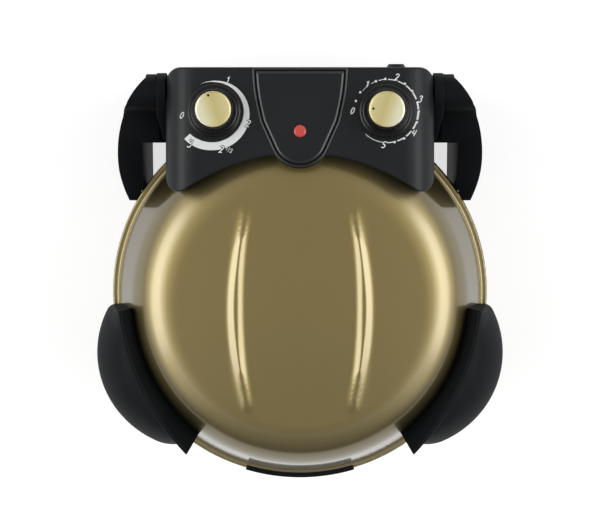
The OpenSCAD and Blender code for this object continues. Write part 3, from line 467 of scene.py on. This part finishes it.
TONGUE_Y, TONGUE_R = FLANGE_R - 25.5, 26.6      # tongue that carries the fascia
FRONT_R = 173.4                                 # hollow front edge on both sides of it
FRONT_C = FLANGE_R - FRONT_R - 39.6
JOIN_X = 21.6                                   # where tongue and front edge meet
LOBE_R = 11.6
LOBE_X = HOUSING_X - LOBE_R
LOBE_Y = FRONT_C + sqrt((FRONT_R + LOBE_R) ** 2 - LOBE_X ** 2)
LOBE_A = degrees(atan2(LOBE_Y - FRONT_C, LOBE_X))
CORNER_R = 14.0                                 # rear corners
ROLL_W, ROLL_R = 30.0, 34.0                     # strip that rolls down at each side
HOUSING_WALL = 3.0
PANEL_UP = (0, sin(PANEL_TILT), cos(PANEL_TILT))
LAMP_V = (FLANGE_R - 20.7 - KNOB_Y) / cos(PANEL_TILT)
SHAFT_HOLE_R, HINGE_HOLE_R, LAMP_HOLE_R = 4, 5, 5.7
GLAND_X, GLAND_HOLE_R = 84, 8.1


def panel_at(y):
    return PANEL_Z - (y - KNOB_Y) * tan(PANEL_TILT)


def panel_top(x, y):
    """Height of the panel's skin, which rolls down at both sides."""
    u = max(0.0, abs(x) - HOUSING_X + ROLL_W)
    return panel_at(y) - (ROLL_R - sqrt(max(0.0, ROLL_R ** 2 - u * u))) / cos(PANEL_TILT)


def on_panel(u, v, w, x0=0.0):
    """A point at (u, v) on the panel about the knobs' line, w above it."""
    c, s = cos(PANEL_TILT), sin(PANEL_TILT)
    return (x0 + u, KNOB_Y + v * c + w * s, PANEL_Z - v * s + w * c)


def revolve_on_panel(profile, u0, v0, segs=96):
    """Verts and faces of a profile (r, w) turned about the panel's normal at (u0, v0)."""
    verts, faces = revolve_points(profile, segs)
    return [on_panel(x, v0 + y, z, u0) for x, y, z in verts], faces


def mirrored(half):
    """A line of points on the right, completed by its mirror image on the left."""
    return [(-x, y) for x, y in reversed(half)] + half[1:]


def housing_front(d, fine):
    """Front edge of the housing from left to right, moved in by d."""
    join = degrees(acos(JOIN_X / TONGUE_R))
    a0 = 90 - degrees(asin(JOIN_X / FRONT_R))
    half = arc((0, TONGUE_Y), TONGUE_R - d, -90, -join - 2, 10 * fine)
    half += arc((0, FRONT_C), FRONT_R + d, a0 - 0.6, LOBE_A + 2, 14 * fine)
    half += arc((LOBE_X, LOBE_Y), LOBE_R - d, 180 + LOBE_A, 360, 12 * fine)
    return mirrored(half)


def housing_shell(d, bottom, edge, fine):
    """Solid of the housing moved in by d, with its top edges rounded by edge."""
    sections = []
    for x, y in housing_front(d, fine):
        u = max(0.0, abs(x) - HOUSING_X + CORNER_R)
        rear = HOUSING_REAR - CORNER_R + sqrt(max(0.0, (CORNER_R - d) ** 2 - u * u))
        t = min(1.0, max(0.0, abs(x) - (HOUSING_X - d) + edge) / edge)
        drop = d + 0.5 * edge * (1 - sqrt(1 - t * t))
        turns = [radians(a) for a in range(0, 91, 15)]
        fillet = [(edge * (1 - cos(a)), drop + edge * (1 - sin(a))) for a in turns]
        s = [(x, y, bottom)]
        s += [(x, y + f, panel_top(x, y + f) - g) for f, g in fillet]
        s += [(x, rear - f, panel_top(x, rear - f) - g) for f, g in reversed(fillet)]
        s.append((x, rear, bottom))
        sections.append(s)
    return plain_object("housing", *loft(sections))


def lamp_hole():
    return tube(on_panel(0, LAMP_V, 0), PANEL_UP, LAMP_HOLE_R, 30)


def control_housing():
    shell = housing_shell(0, HOUSING_Z, 2.0, 2)
    cutters = [housing_shell(HOUSING_WALL, HOUSING_Z - 2, 1.0, 1), lid_cutter(0.3),
               tube((0, HINGE_Y, HINGE_Z), (1, 0, 0), HINGE_HOLE_R, 300), lamp_hole(),
               tube((GLAND_X, HOUSING_REAR, HINGE_Z - 2), (0, 1, 0), GLAND_HOLE_R, 20)]
    cutters += [tube(on_panel(0, 0, 0, side * KNOB_X), PANEL_UP, SHAFT_HOLE_R, 20)
                for side in (-1, 1)]
    combine(shell, cutters, solver="EXACT")
    finish_piece(shell, "panel_housing", "lid", "black", ["control_housing"], 35)


control_housing()

# ---------------------------------------------------------------- raised fascia and its lamp

FASCIA_HALF = 40.7                  # half width at the rear
FASCIA_REAR = HOUSING_REAR + 2
FASCIA_INSET = 1.2                  # from the tongue's edge
# How high the fascia stands over the panel, by the distance in from its outline
FASCIA_PROFILE = [(0, 0.03), (0, 0.35), (0.06, 0.48), (0.2, 0.57), (1.15, 0.95), (1.35, 0.94),
                  (1.48, 0.8), (1.55, 0.36), (1.9, 0.3), (2.9, 0.34), (3.1, 0.8), (3.2, 1.4),
                  (3.32, 1.8), (3.55, 2.0), (4.75, 2.48), (5.05, 2.57), (5.4, 2.6)]
# The groove is painted shade in a darker black; the edges are partly painted highlight.
FASCIA_GROOVE, FASCIA_EDGE = (1.5, 3.25), 5.1   # the dull groove, and where the bright edge ends


def fascia_outline(d):
    a0 = -degrees(asin((2.6 + d) / FLANGE_R))
    a1 = -degrees(asin((FASCIA_REAR - TONGUE_Y - 4) / FLANGE_R))
    half = arc((0, TONGUE_Y), TONGUE_R - FASCIA_INSET - d, -90, -24, 27)
    half += arc((FASCIA_HALF - FLANGE_R, FASCIA_REAR), FLANGE_R - d, a1 + 3, a0, 30)
    return mirrored(half)


def center_fascia():
    rings = [[(x, y, panel_at(y) + w) for x, y in fascia_outline(d)] for d, w in FASCIA_PROFILE]
    fascia = plain_object("fascia_plate", *loft(rings))
    for key in ("black", "gap", "edge"):
        fascia.data.materials.append(MAT[key])
    n = len(rings[0])
    for p in fascia.data.polygons[2:]:
        d = FASCIA_PROFILE[(p.index - 2) // n + 1][0]
        # The groove takes the darker black as painted shade.
        in_groove = FASCIA_GROOVE[0] < d < FASCIA_GROOVE[1]
        # The edges take the lighter, glossier black, partly as painted highlight.
        p.material_index = 1 if in_groove else 2 if d < FASCIA_EDGE else 0
    combine(fascia, [lamp_hole()], solver="EXACT")
    fascia.data.shade_smooth()
    fascia.data.set_sharp_from_angle(angle=radians(50))
    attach(fascia, "lid")
    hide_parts("center_fascia")


center_fascia()

LENS_LIFT = 2.4
LENS = [(0.0, -3.9), (5.35, -3.9), (5.35, -0.2), (5.3, 0.1), (5.05, 0.55)]
LENS += [(5.4 * sin(radians(a)), 0.1 + 1.35 * cos(radians(a))) for a in (58, 46, 36, 27, 18, 9)]
LENS += [(0.0, 1.45)]
make("lamp_dome", *revolve_on_panel([(r, w + LENS_LIFT) for r, w in LENS], 0, LAMP_V, 64),
     "lid", "lamp", "lamp_red", ["lamp_lens"], 50)

# ---------------------------------------------------------------- knobs

KNOB = [(0.0, 15.42), (15.35, 15.42), (15.36, 16.3), (15.42, 16.75), (15.6, 16.95), (15.85, 17.0),
        (16.15, 16.9), (16.4, 16.65), (16.55, 16.2), (16.75, 14.8), (17.0, 12.0), (17.3, 9.4),
        (17.6, 7.9), (18.0, 6.8), (18.6, 6.0), (19.3, 5.5), (19.9, 5.3), (20.05, 5.1),
        (20.15, 4.9), (20.35, 4.85), (20.5, 5.0), (20.7, 5.0), (21.4, 4.7), (22.2, 4.25),
        (22.8, 3.8), (23.1, 3.3), (23.2, 2.7), (23.2, 0.9), (23.1, 0.45), (22.8, 0.12),
        (22.4, 0.0), (14.4, 0.0), (14.4, 9.3), (6.0, 9.3), (6.0, 0.0), (3.06, 0.0), (3.06, 9.4),
        (0.0, 9.4)]
CAP = [(0.0, 0.0), (15.1, 0.0), (15.2, 0.15), (15.2, 1.45), (15.12, 1.75), (14.92, 1.98),
       (14.6, 2.1), (14.25, 2.1), (14.0, 1.98), (13.85, 1.85), (13.5, 1.82), (11.0, 1.72),
       (7.0, 1.55), (3.0, 1.44), (0.0, 1.42)]
POINTER = [(0.0, 1.2), (1.05, 1.2), (1.05, 1.9), (0.9, 1.98), (0.0, 1.8)]
KNOB_GAP, CAP_SEAT = 0.8, 16.25     # undersides of knob and cap above the panel


def knob(side, dial, dot):
    """The knob, its pale disc, and the dot at its place on the disc."""
    x0 = side * KNOB_X
    body = [(r, w + KNOB_GAP) for r, w in KNOB]
    disc = [(r, w + CAP_SEAT) for r, w in CAP]
    spot = [(r, w + CAP_SEAT) for r, w in POINTER]
    make(dial + "_grip", *revolve_on_panel(body, x0, 0, 120), dial + "_dial", "knob",
         "knob_black", [dial + "_knob"], 40)
    make(dial + "_disc", *revolve_on_panel(disc, x0, 0, 120), dial + "_dial", "cap",
         "cap_gold", [dial + "_cap"], 40)
    make(dial + "_pointer", *revolve_on_panel(spot, x0 + dot[0], dot[1], 24), dial + "_dial",
         "knob", "knob_black", (), 40)


knob(-1, "thermostat", (-4.1, 11.5))
knob(1, "timer", (-11.3, 0.4))

# ---------------------------------------------------------------- printed dials

PRINT_TOP, PRINT_SUNK = 0.05, -0.08     # the print's top and underside over the panel's skin


def on_skin(x0, u, v, lift):
    """A point of the print: (u, v) in plan about a knob, lifted off the skin of the panel."""
    y = KNOB_Y + v * cos(PANEL_TILT)
    return (x0 + u, y, panel_top(x0 + u, y) + lift)


class Print:
    """Marks printed on the panel, gathered into one thin mesh."""

    def __init__(self, x0):
        self.x0, self.verts, self.faces = x0, [], []

    def band(self, left, right, lift=PRINT_TOP, closed=False):
        """A strip between two lines of points."""
        n, k = len(left), len(self.verts)
        for (lu, lv), (ru, rv) in zip(left, right):
            corners = ((lu, lv, lift), (ru, rv, lift), (ru, rv, PRINT_SUNK), (lu, lv, PRINT_SUNK))
            self.verts += [on_skin(self.x0, u, v, w) for u, v, w in corners]
        for i in range(n if closed else n - 1):
            a, b = k + 4 * i, k + 4 * ((i + 1) % n)
            self.faces += [(a + j, a + (j + 1) % 4, b + (j + 1) % 4, b + j) for j in range(4)]
        if not closed:
            e = k + 4 * n
            self.faces += [(k, k + 1, k + 2, k + 3), (e - 1, e - 2, e - 3, e - 4)]

    def stroke(self, points, width, lift=PRINT_TOP, closed=False):
        """A line of even width through the points."""
        n = len(points)
        left, right = [], []
        for i, (u, v) in enumerate(points):
            a = points[i - 1] if i or closed else points[i]
            b = points[(i + 1) % n] if i < n - 1 or closed else points[i]
            du, dv = b[0] - a[0], b[1] - a[1]
            s = width / 2 / max(1e-6, sqrt(du * du + dv * dv))
            left.append((u - dv * s, v + du * s))
            right.append((u + dv * s, v - du * s))
        self.band(left, right, lift, closed)

    def dot(self, u, v, r, lift):
        a = arc((u, v), r, 90, -90, 12)
        self.band(a, [(2 * u - p, q) for p, q in a], lift)

    def finish(self, name, mat="print"):
        make(name, self.verts, self.faces, "lid", mat, "inner_plastic", (), 30)


# Strokes of the figures in a box 0.6 wide and 1 high, and whether each stroke is closed
ROUND = [(0.3 + 0.22 * cos(radians(a)), 0.5 + 0.47 * sin(radians(a))) for a in range(0, 360, 15)]
FIGURES = {
    "0": [(ROUND, True)],
    "1": [([(0.12, 0.72), (0.3, 0.85), (0.36, 1.0), (0.36, 0.5), (0.36, 0.0)], False)],
    "2": [(arc((0.3, 0.73), 0.25, 165, -25, 12) +
           [(0.4, 0.42), (0.2, 0.2), (0.04, 0.03), (0.3, 0.06), (0.58, 0.02)], False)],
    "3": [(arc((0.3, 0.77), 0.22, 160, -70, 10) + [(0.3, 0.53)], False),
          ([(0.3, 0.53)] + arc((0.27, 0.27), 0.26, 70, -160, 14), False)],
    "4": [([(0.2, 0.96), (0.06, 0.46), (0.3, 0.42), (0.62, 0.48)], False),
          ([(0.6, 0.96), (0.42, 0.0)], False)],
    "5": [([(0.56, 0.98), (0.36, 0.96), (0.2, 0.97), (0.16, 0.78), (0.13, 0.56)] +
           arc((0.27, 0.3), 0.26, 100, -155, 14), False)],
}
FIGURE_SLANT = 0.38


def figure(sheet, name, u, v, high=5.4, width=0.75, lift=0.06):
    for points, closed in FIGURES[name]:
        line = [(u + (x - 0.3 + (y - 0.5) * FIGURE_SLANT) * high, v + (y - 0.5) * high)
                for x, y in points]
        sheet.stroke(line, width, lift, closed)


def between(table, a):
    """Smooth values at a in a table of (a, value, ...) with falling a."""
    for i in range(len(table) - 1):
        if table[i + 1][0] <= a:
            break
    t = (a - table[i][0]) / (table[i + 1][0] - table[i][0])
    out = []
    for k in range(1, len(table[0])):
        p = [table[max(0, min(len(table) - 1, j))][k] for j in (i - 1, i, i + 1, i + 2)]
        m0, m1 = (p[2] - p[0]) / 2, (p[3] - p[1]) / 2
        square = 3 * (p[2] - p[1]) - 2 * m0 - m1
        cube = 2 * (p[1] - p[2]) + m0 + m1
        out.append(p[1] + m0 * t + square * t * t + cube * t ** 3)
    return out


def thermostat_dial():
    """A band that widens from 0 to 3, with dark rims round the figures that lie on it."""
    sheet, shade = Print(-KNOB_X), Print(-KNOB_X)
    # angle, inner and outer radius of the band
    table = [(117, 26.3, 26.4), (86, 25.2, 26.5), (45, 25.0, 28.0), (5, 25.1, 29.7),
             (-47, 25.0, 31.5), (-93, 26.2, 32.9), (-120, 27.2, 34.2), (-138, 28.1, 34.8)]
    inner, outer = [], []
    for a in range(117, -139, -3):
        for line, r in zip((inner, outer), between(table, a)):
            line.append((r * cos(radians(a)), r * sin(radians(a))))
    sheet.band(outer, inner)
    figure(sheet, "0", -27.9, -3.2)
    figure(sheet, "1", 11.7, 27.3)
    for name, u, v, high in (("2", 28.8, -10.2, 5.6), ("2", 6.0, -32.2, 5.6),
                             ("3", -20.8, -27.3, 6.2)):
        figure(shade, name, u, v, high, 1.9, 0.09)
        figure(sheet, name, u, v, high, 0.8, 0.13)
    # the half after the second 2: two small figures and a slanted line
    for name, u, v in (("1", 10.6, -31.3), ("2", 14.3, -33.4)):
        figure(shade, name, u, v, 3.2, 1.1, 0.09)
        figure(sheet, name, u, v, 3.2, 0.5, 0.13)
    sheet.stroke([(11.5, -34.4), (13.2, -30.6)], 0.4, 0.13)
    sheet.finish("thermostat_scale")
    shade.finish("thermostat_scale_outline", "gap")


def timer_dial():
    """Dots and minutes, with a line from mark to mark that is thickest at the right."""
    sheet = Print(KNOB_X)
    dots = [(-25.4, 9.1), (-21.6, 16.5), (-8.3, 26.0), (-0.3, 27.9), (16.4, 23.8), (22.8, 17.5),
            (28.5, 0.1), (26.8, -9.1), (15.8, -22.9), (7.7, -26.0)]
    for u, v in dots:
        sheet.dot(u, v, 1.05, 0.07)
    marks = [("0", -28.1, 0.8), ("1", -15.4, 23.8), ("2", 9.6, 29.5), ("3", 30.1, 10.7),
             ("4", 24.2, -18.3), ("5", -1.5, -28.2)]
    for name, u, v in marks:
        figure(sheet, name, u, v, 5.4, 0.85, 0.09)
    last, margin = -133.0, 2.4          # degrees: end of the line, and its gap at each mark
    places = dots[1:] + [(u, v) for _, u, v in marks[1:]]
    stops = sorted([degrees(atan2(v, u)) for u, v in places] + [last], reverse=True)
    for high, low in zip(stops[:-1], stops[1:]):
        a0, a1 = high - margin, low + (0 if low == last else margin)
        width = max(0.4, 1.7 - abs((a0 + a1) / 2 + 5) / 95)
        sheet.stroke(arc((1.2, 0.6), 27.0, a0, a1, 6), width)
    sheet.finish("timer_scale")


thermostat_dial()
timer_dial()

# ---------------------------------------------------------------- front handles

LIP_C, LIP_R, LIP_Z = (97.01, -53.11), 89.0, 87.0           # outer edge, seen from above
CREST_C, CREST_R, CREST_Z = (-62.0, 14.15), 221.0, 130.0    # high inner edge
CREST_LEAN, CREST_SEAT = radians(29), 2.2                   # inner wall, and width of the top
GRIP_FULL = 1.35                                            # 1 is a round section, more a flatter one
END_ANGLES, END_ROUND = (-2.4, -53.4), (9.0, 34.0)          # rear and front end
GRIP_WALL = 3.0
GRIP_SCREWS, SCREW_Z = (-17, -42), 101
BOSS_R, SCREW_R = 5, 1.7
TUCK = 0.7                                                  # the lip's edge is turned in by this
CREST_EDGE = [(0.7, 0.0), (0.32, 0.08), (0.02, 0.27), (-0.3, 0.6)]      # out, down


def polar(r, a):
    return Vector((r * cos(radians(a)), r * sin(radians(a))))


def heading(p):
    return degrees(atan2(p[1], p[0]))


def end_axes(k):
    """Direction of an end from the stone's axis, and the direction across it into the handle."""
    u = polar(1, END_ANGLES[k])
    return u, (1 if k == 0 else -1) * Vector((u[1], -u[0]))


def end_c(k):
    """Centre of an end's rounding, which touches the end's line and the lip's arc."""
    u, inward = end_axes(k)
    q = END_ROUND[k] * inward - Vector(LIP_C)
    b = q.dot(u)
    return END_ROUND[k] * inward + (sqrt(b * b - q.dot(q) + (LIP_R - END_ROUND[k]) ** 2) - b) * u


def lip_line(d, fine):
    """Outer edge from the rear end to the front end, moved in by d."""
    a = [heading(end_c(k) - Vector(LIP_C)) for k in (0, 1)]
    line = arc(end_c(0), END_ROUND[0] - d, 90 + END_ANGLES[0], a[0], 5 * fine)
    line += arc(LIP_C, LIP_R - d, a[0] - 2 / fine, a[1] + 2 / fine, 20 * fine)
    return line + arc(end_c(1), END_ROUND[1] - d, a[1], END_ANGLES[1] - 90, 8 * fine)


def crest_end(r, k, d):
    """Angle on the crest's arc of radius r where an end's line, moved in by d, meets it."""
    u, inward = end_axes(k)
    q = d * inward - Vector(CREST_C)
    b = q.dot(u)
    return heading(q + (sqrt(b * b - q.dot(q) + r * r) - b) * u)


def crest_point(r, t, d):
    return Vector(CREST_C) + polar(r, crest_end(r, 0, d) * (1 - t) + crest_end(r, 1, d) * t)


def handle_form(d, side, fine, soft):
    """Solid of a handle moved in by d, with rounded edges where it is soft."""
    line = [Vector(p) for p in lip_line(d, fine)]
    tuck = [Vector(p) for p in lip_line(d + TUCK, fine)]
    bottom = LIP_Z - 1 if d else LIP_Z
    top = CREST_Z - d
    rise = CREST_Z - LIP_Z - 3 - d
    turns = [radians(a) for a in range(0, 85, 6)]
    edge = (CREST_EDGE if soft else [(0.0, 0.0)]) + [(-(top - bottom) * tan(CREST_LEAN),
                                                      top - bottom)]
    sections = []
    for i, (p, q) in enumerate(zip(line, tuck)):
        t = i / (len(line) - 1)
        c = crest_point(CREST_R + CREST_SEAT, t, d)
        s = [(p.x, p.y, bottom)]
        if soft:
            s = [(q.x, q.y, bottom), (*(p * 0.75 + q * 0.25), bottom + 0.2)]
        s.append((p.x, p.y, LIP_Z + 0.8))
        for a in turns:
            m = c + (p - c) * cos(a) ** GRIP_FULL
            s.append((m.x, m.y, LIP_Z + 2 + rise * sin(a) ** GRIP_FULL))
        s.append((c.x, c.y, top))
        for out, down in edge:
            m = crest_point(CREST_R + out + d / 2, t, d)
            s.append((m.x, m.y, top - down))
        sections.append([(side * x, y, z) for x, y, z in s])
    return plain_object("handle", *loft(sections))


def handle_screw(side, angle, r, a, b):
    """A tube along a handle screw, from a to b outside the lid's skin."""
    rad = SKIRT_R - (SCREW_Z - SKIRT_Z) * tan(LEAN)
    turn = radians(angle)
    n = Vector((cos(LEAN) * cos(turn), cos(LEAN) * sin(turn), sin(LEAN)))
    mid = Vector((rad * cos(turn), rad * sin(turn), SCREW_Z)) + n * ((a + b) / 2)
    return tube((side * mid.x, mid.y, mid.z), (side * n.x, n.y, n.z), r, b - a, 32)


def handle(side, name):
    """A hollow shell with two screw bosses, trimmed to the lid."""
    outer = handle_form(0, side, 3, True)
    combine(outer, [handle_form(GRIP_WALL, side, 2, False)])
    bosses = [combine(handle_screw(side, a, BOSS_R, -5, 55),
                      [handle_form(GRIP_WALL / 2, side, 2, False)], "INTERSECT")
              for a in GRIP_SCREWS]
    combine(outer, bosses, "UNION")
    holes = [handle_screw(side, a, SCREW_R, -5, 15) for a in GRIP_SCREWS]
    combine(outer, [lid_cutter(0.1)] + holes)
    finish_piece(outer, "grip_" + name, "lid", "grip", ["handle_" + name], 32)


handle(-1, "left")
handle(1, "right")

# ---------------------------------------------------------------- mouldings with softened edges

def soften(node, name, body, width):
    """A copy of a CAD moulding with its sharp edges rounded."""
    me = cad[node].data.copy()
    bm = bmesh.new()
    bm.from_mesh(me)
    bmesh.ops.remove_doubles(bm, verts=bm.verts, dist=1e-6)
    bmesh.ops.dissolve_limit(bm, angle_limit=radians(0.6), verts=bm.verts, edges=bm.edges)
    bm.to_mesh(me)
    bm.free()
    ob = bpy.data.objects.new(name, me)
    scene.collection.objects.link(ob)
    ob.matrix_world = cad[node].matrix_world.copy()
    m = ob.modifiers.new("round", "BEVEL")
    m.width = width / 1000
    m.segments = 3
    m.limit_method = "ANGLE"
    m.angle_limit = radians(35)
    m.use_clamp_overlap = True
    apply_modifiers(ob)
    finish_piece(ob, name, body, "grip", [node], 40)


for hand in ("left", "right"):
    soften("rear_support_" + hand, "support_" + hand, "base", 0.7)
    soften("hinge_knuckle_" + hand, "knuckle_" + hand, "lid", 0.8)
    soften("front_foot_" + hand, "foot_" + hand, "base", 0.7)
soften("front_trim_bar", "trim_bar", "base", 0.6)

# ---------------------------------------------------------------- world

# Heights are the z of a direction, so 0 is level and 1 is overhead.
HORIZON_TOP = 0.06                      # white up to here
CEILING, CEILING_SIDES = 0.44, 0.2      # light overhead, and how much the sides add
FRONT_DARK = 0.76                       # share that the front of the ceiling lacks
BOX_LIGHT = 3.3                         # light of the soft boxes at the left and the right
BOX_EDGE, BOX_FOOT, BOX_HEAD = (0.8, 0.94), (0.3, 0.46), (0.6, 0.88)

world = bpy.data.worlds.new("studio")
scene.world = world
world.use_nodes = True
wt = world.node_tree
wt.nodes.clear()


def wmath(op, a, b=None):
    n = wt.nodes.new("ShaderNodeMath")
    n.operation = op
    for i, v in enumerate((a, b)):
        if isinstance(v, (int, float)):
            n.inputs[i].default_value = v
        elif v is not None:
            wt.links.new(v, n.inputs[i])
    return n.outputs[0]


def wstep(v, lo, hi):
    """0 below lo, 1 over hi, and smooth in between."""
    n = wt.nodes.new("ShaderNodeMapRange")
    n.interpolation_type = "SMOOTHSTEP"
    n.inputs["From Min"].default_value = lo
    n.inputs["From Max"].default_value = hi
    wt.links.new(v, n.inputs["Value"])
    return n.outputs["Result"]


def wrest(v):
    return wmath("SUBTRACT", 1.0, v)


coords = wt.nodes.new("ShaderNodeTexCoord")
split = wt.nodes.new("ShaderNodeSeparateXYZ")
wt.links.new(coords.outputs["Generated"], split.inputs[0])
dx, dy, dz = split.outputs
wide = wmath("ABSOLUTE", dx)
flat = wmath("SQRT", wmath("ADD", wmath("MULTIPLY", dx, dx), wmath("MULTIPLY", dy, dy)))
side = wmath("DIVIDE", wide, wmath("MAXIMUM", flat, 0.001))
boxes = wmath("MULTIPLY", wstep(side, *BOX_EDGE),
              wmath("MULTIPLY", wstep(dz, *BOX_FOOT), wrest(wstep(dz, *BOX_HEAD))))
front = wmath("MULTIPLY", wstep(wmath("MULTIPLY", dy, -1.0), 0.2, 0.6),
              wrest(wstep(side, 0.5, 0.8)))
ceiling = wmath("MULTIPLY", wmath("ADD", CEILING, wmath("MULTIPLY", wide, CEILING_SIDES)),
                wrest(wmath("MULTIPLY", front, FRONT_DARK)))
above = wmath("ADD", ceiling, wmath("MULTIPLY", boxes, BOX_LIGHT))
horizon = wrest(wstep(dz, 0.0, HORIZON_TOP))
background = wt.nodes.new("ShaderNodeBackground")
background.inputs["Color"].default_value = (1, 1, 1, 1)
wt.links.new(wmath("ADD", horizon, wmath("MULTIPLY", above, wrest(horizon))),
             background.inputs["Strength"])
output = wt.nodes.new("ShaderNodeOutputWorld")
wt.links.new(background.outputs[0], output.inputs["Surface"])

# ---------------------------------------------------------------- floor

FLOOR_HALF = 4                          # metres
FLOOR_GREY, FLOOR_GLOW = 0.45, 0.72     # white together, with the object's shadow kept

me = bpy.data.meshes.new("floor")
corners = [(x * FLOOR_HALF, y * FLOOR_HALF, 0) for x, y in ((-1, -1), (1, -1), (1, 1), (-1, 1))]
me.from_pydata(corners, [], [(0, 1, 2, 3)])
floor = bpy.data.objects.new("floor", me)
scene.collection.objects.link(floor)
floor_mat, _, floor_bsdf = nodes_of("floor_white")
floor_bsdf.inputs["Base Color"].default_value = (FLOOR_GREY, FLOOR_GREY, FLOOR_GREY, 1)
floor_bsdf.inputs["Roughness"].default_value = 0.9
floor_bsdf.inputs["Specular IOR Level"].default_value = 0.0
floor_bsdf.inputs["Emission Color"].default_value = (1, 1, 1, 1)
floor_bsdf.inputs["Emission Strength"].default_value = FLOOR_GLOW
me.materials.append(floor_mat)
floor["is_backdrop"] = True

# ---------------------------------------------------------------- camera

PHOTO_WIDTH, PHOTO_FOCAL = 600, 1359    # pixels
CAMERA_LEAN, CAMERA_FAR = radians(7.5), 1.25        # off plumb, and metres from the target
FILM = 36                                           # millimetres across

camera_data = bpy.data.cameras.new("camera")
camera_data.sensor_width = FILM
camera_data.lens = PHOTO_FOCAL / PHOTO_WIDTH * FILM
camera_data.clip_end = 20
camera = bpy.data.objects.new("camera", camera_data)
scene.collection.objects.link(camera)
target = P(0, 27.8, 75)
camera.location = target + Vector((0, sin(CAMERA_LEAN), cos(CAMERA_LEAN))) * CAMERA_FAR
forward = (target - camera.location).normalized()
right = Vector((1, 0, 0))
up = right.cross(forward)
camera.rotation_mode = "QUATERNION"
camera.rotation_quaternion = Matrix((right, up, -forward)).transposed().to_quaternion()
scene.camera = camera
scene.view_settings.view_transform = "Standard"


def plain(b):
    try:
        return [[float(v) for v in c] for c in b]
    except TypeError:
        return [float(v) for v in b]


{"cad": plain(cad_box), "visual": plain(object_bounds())}
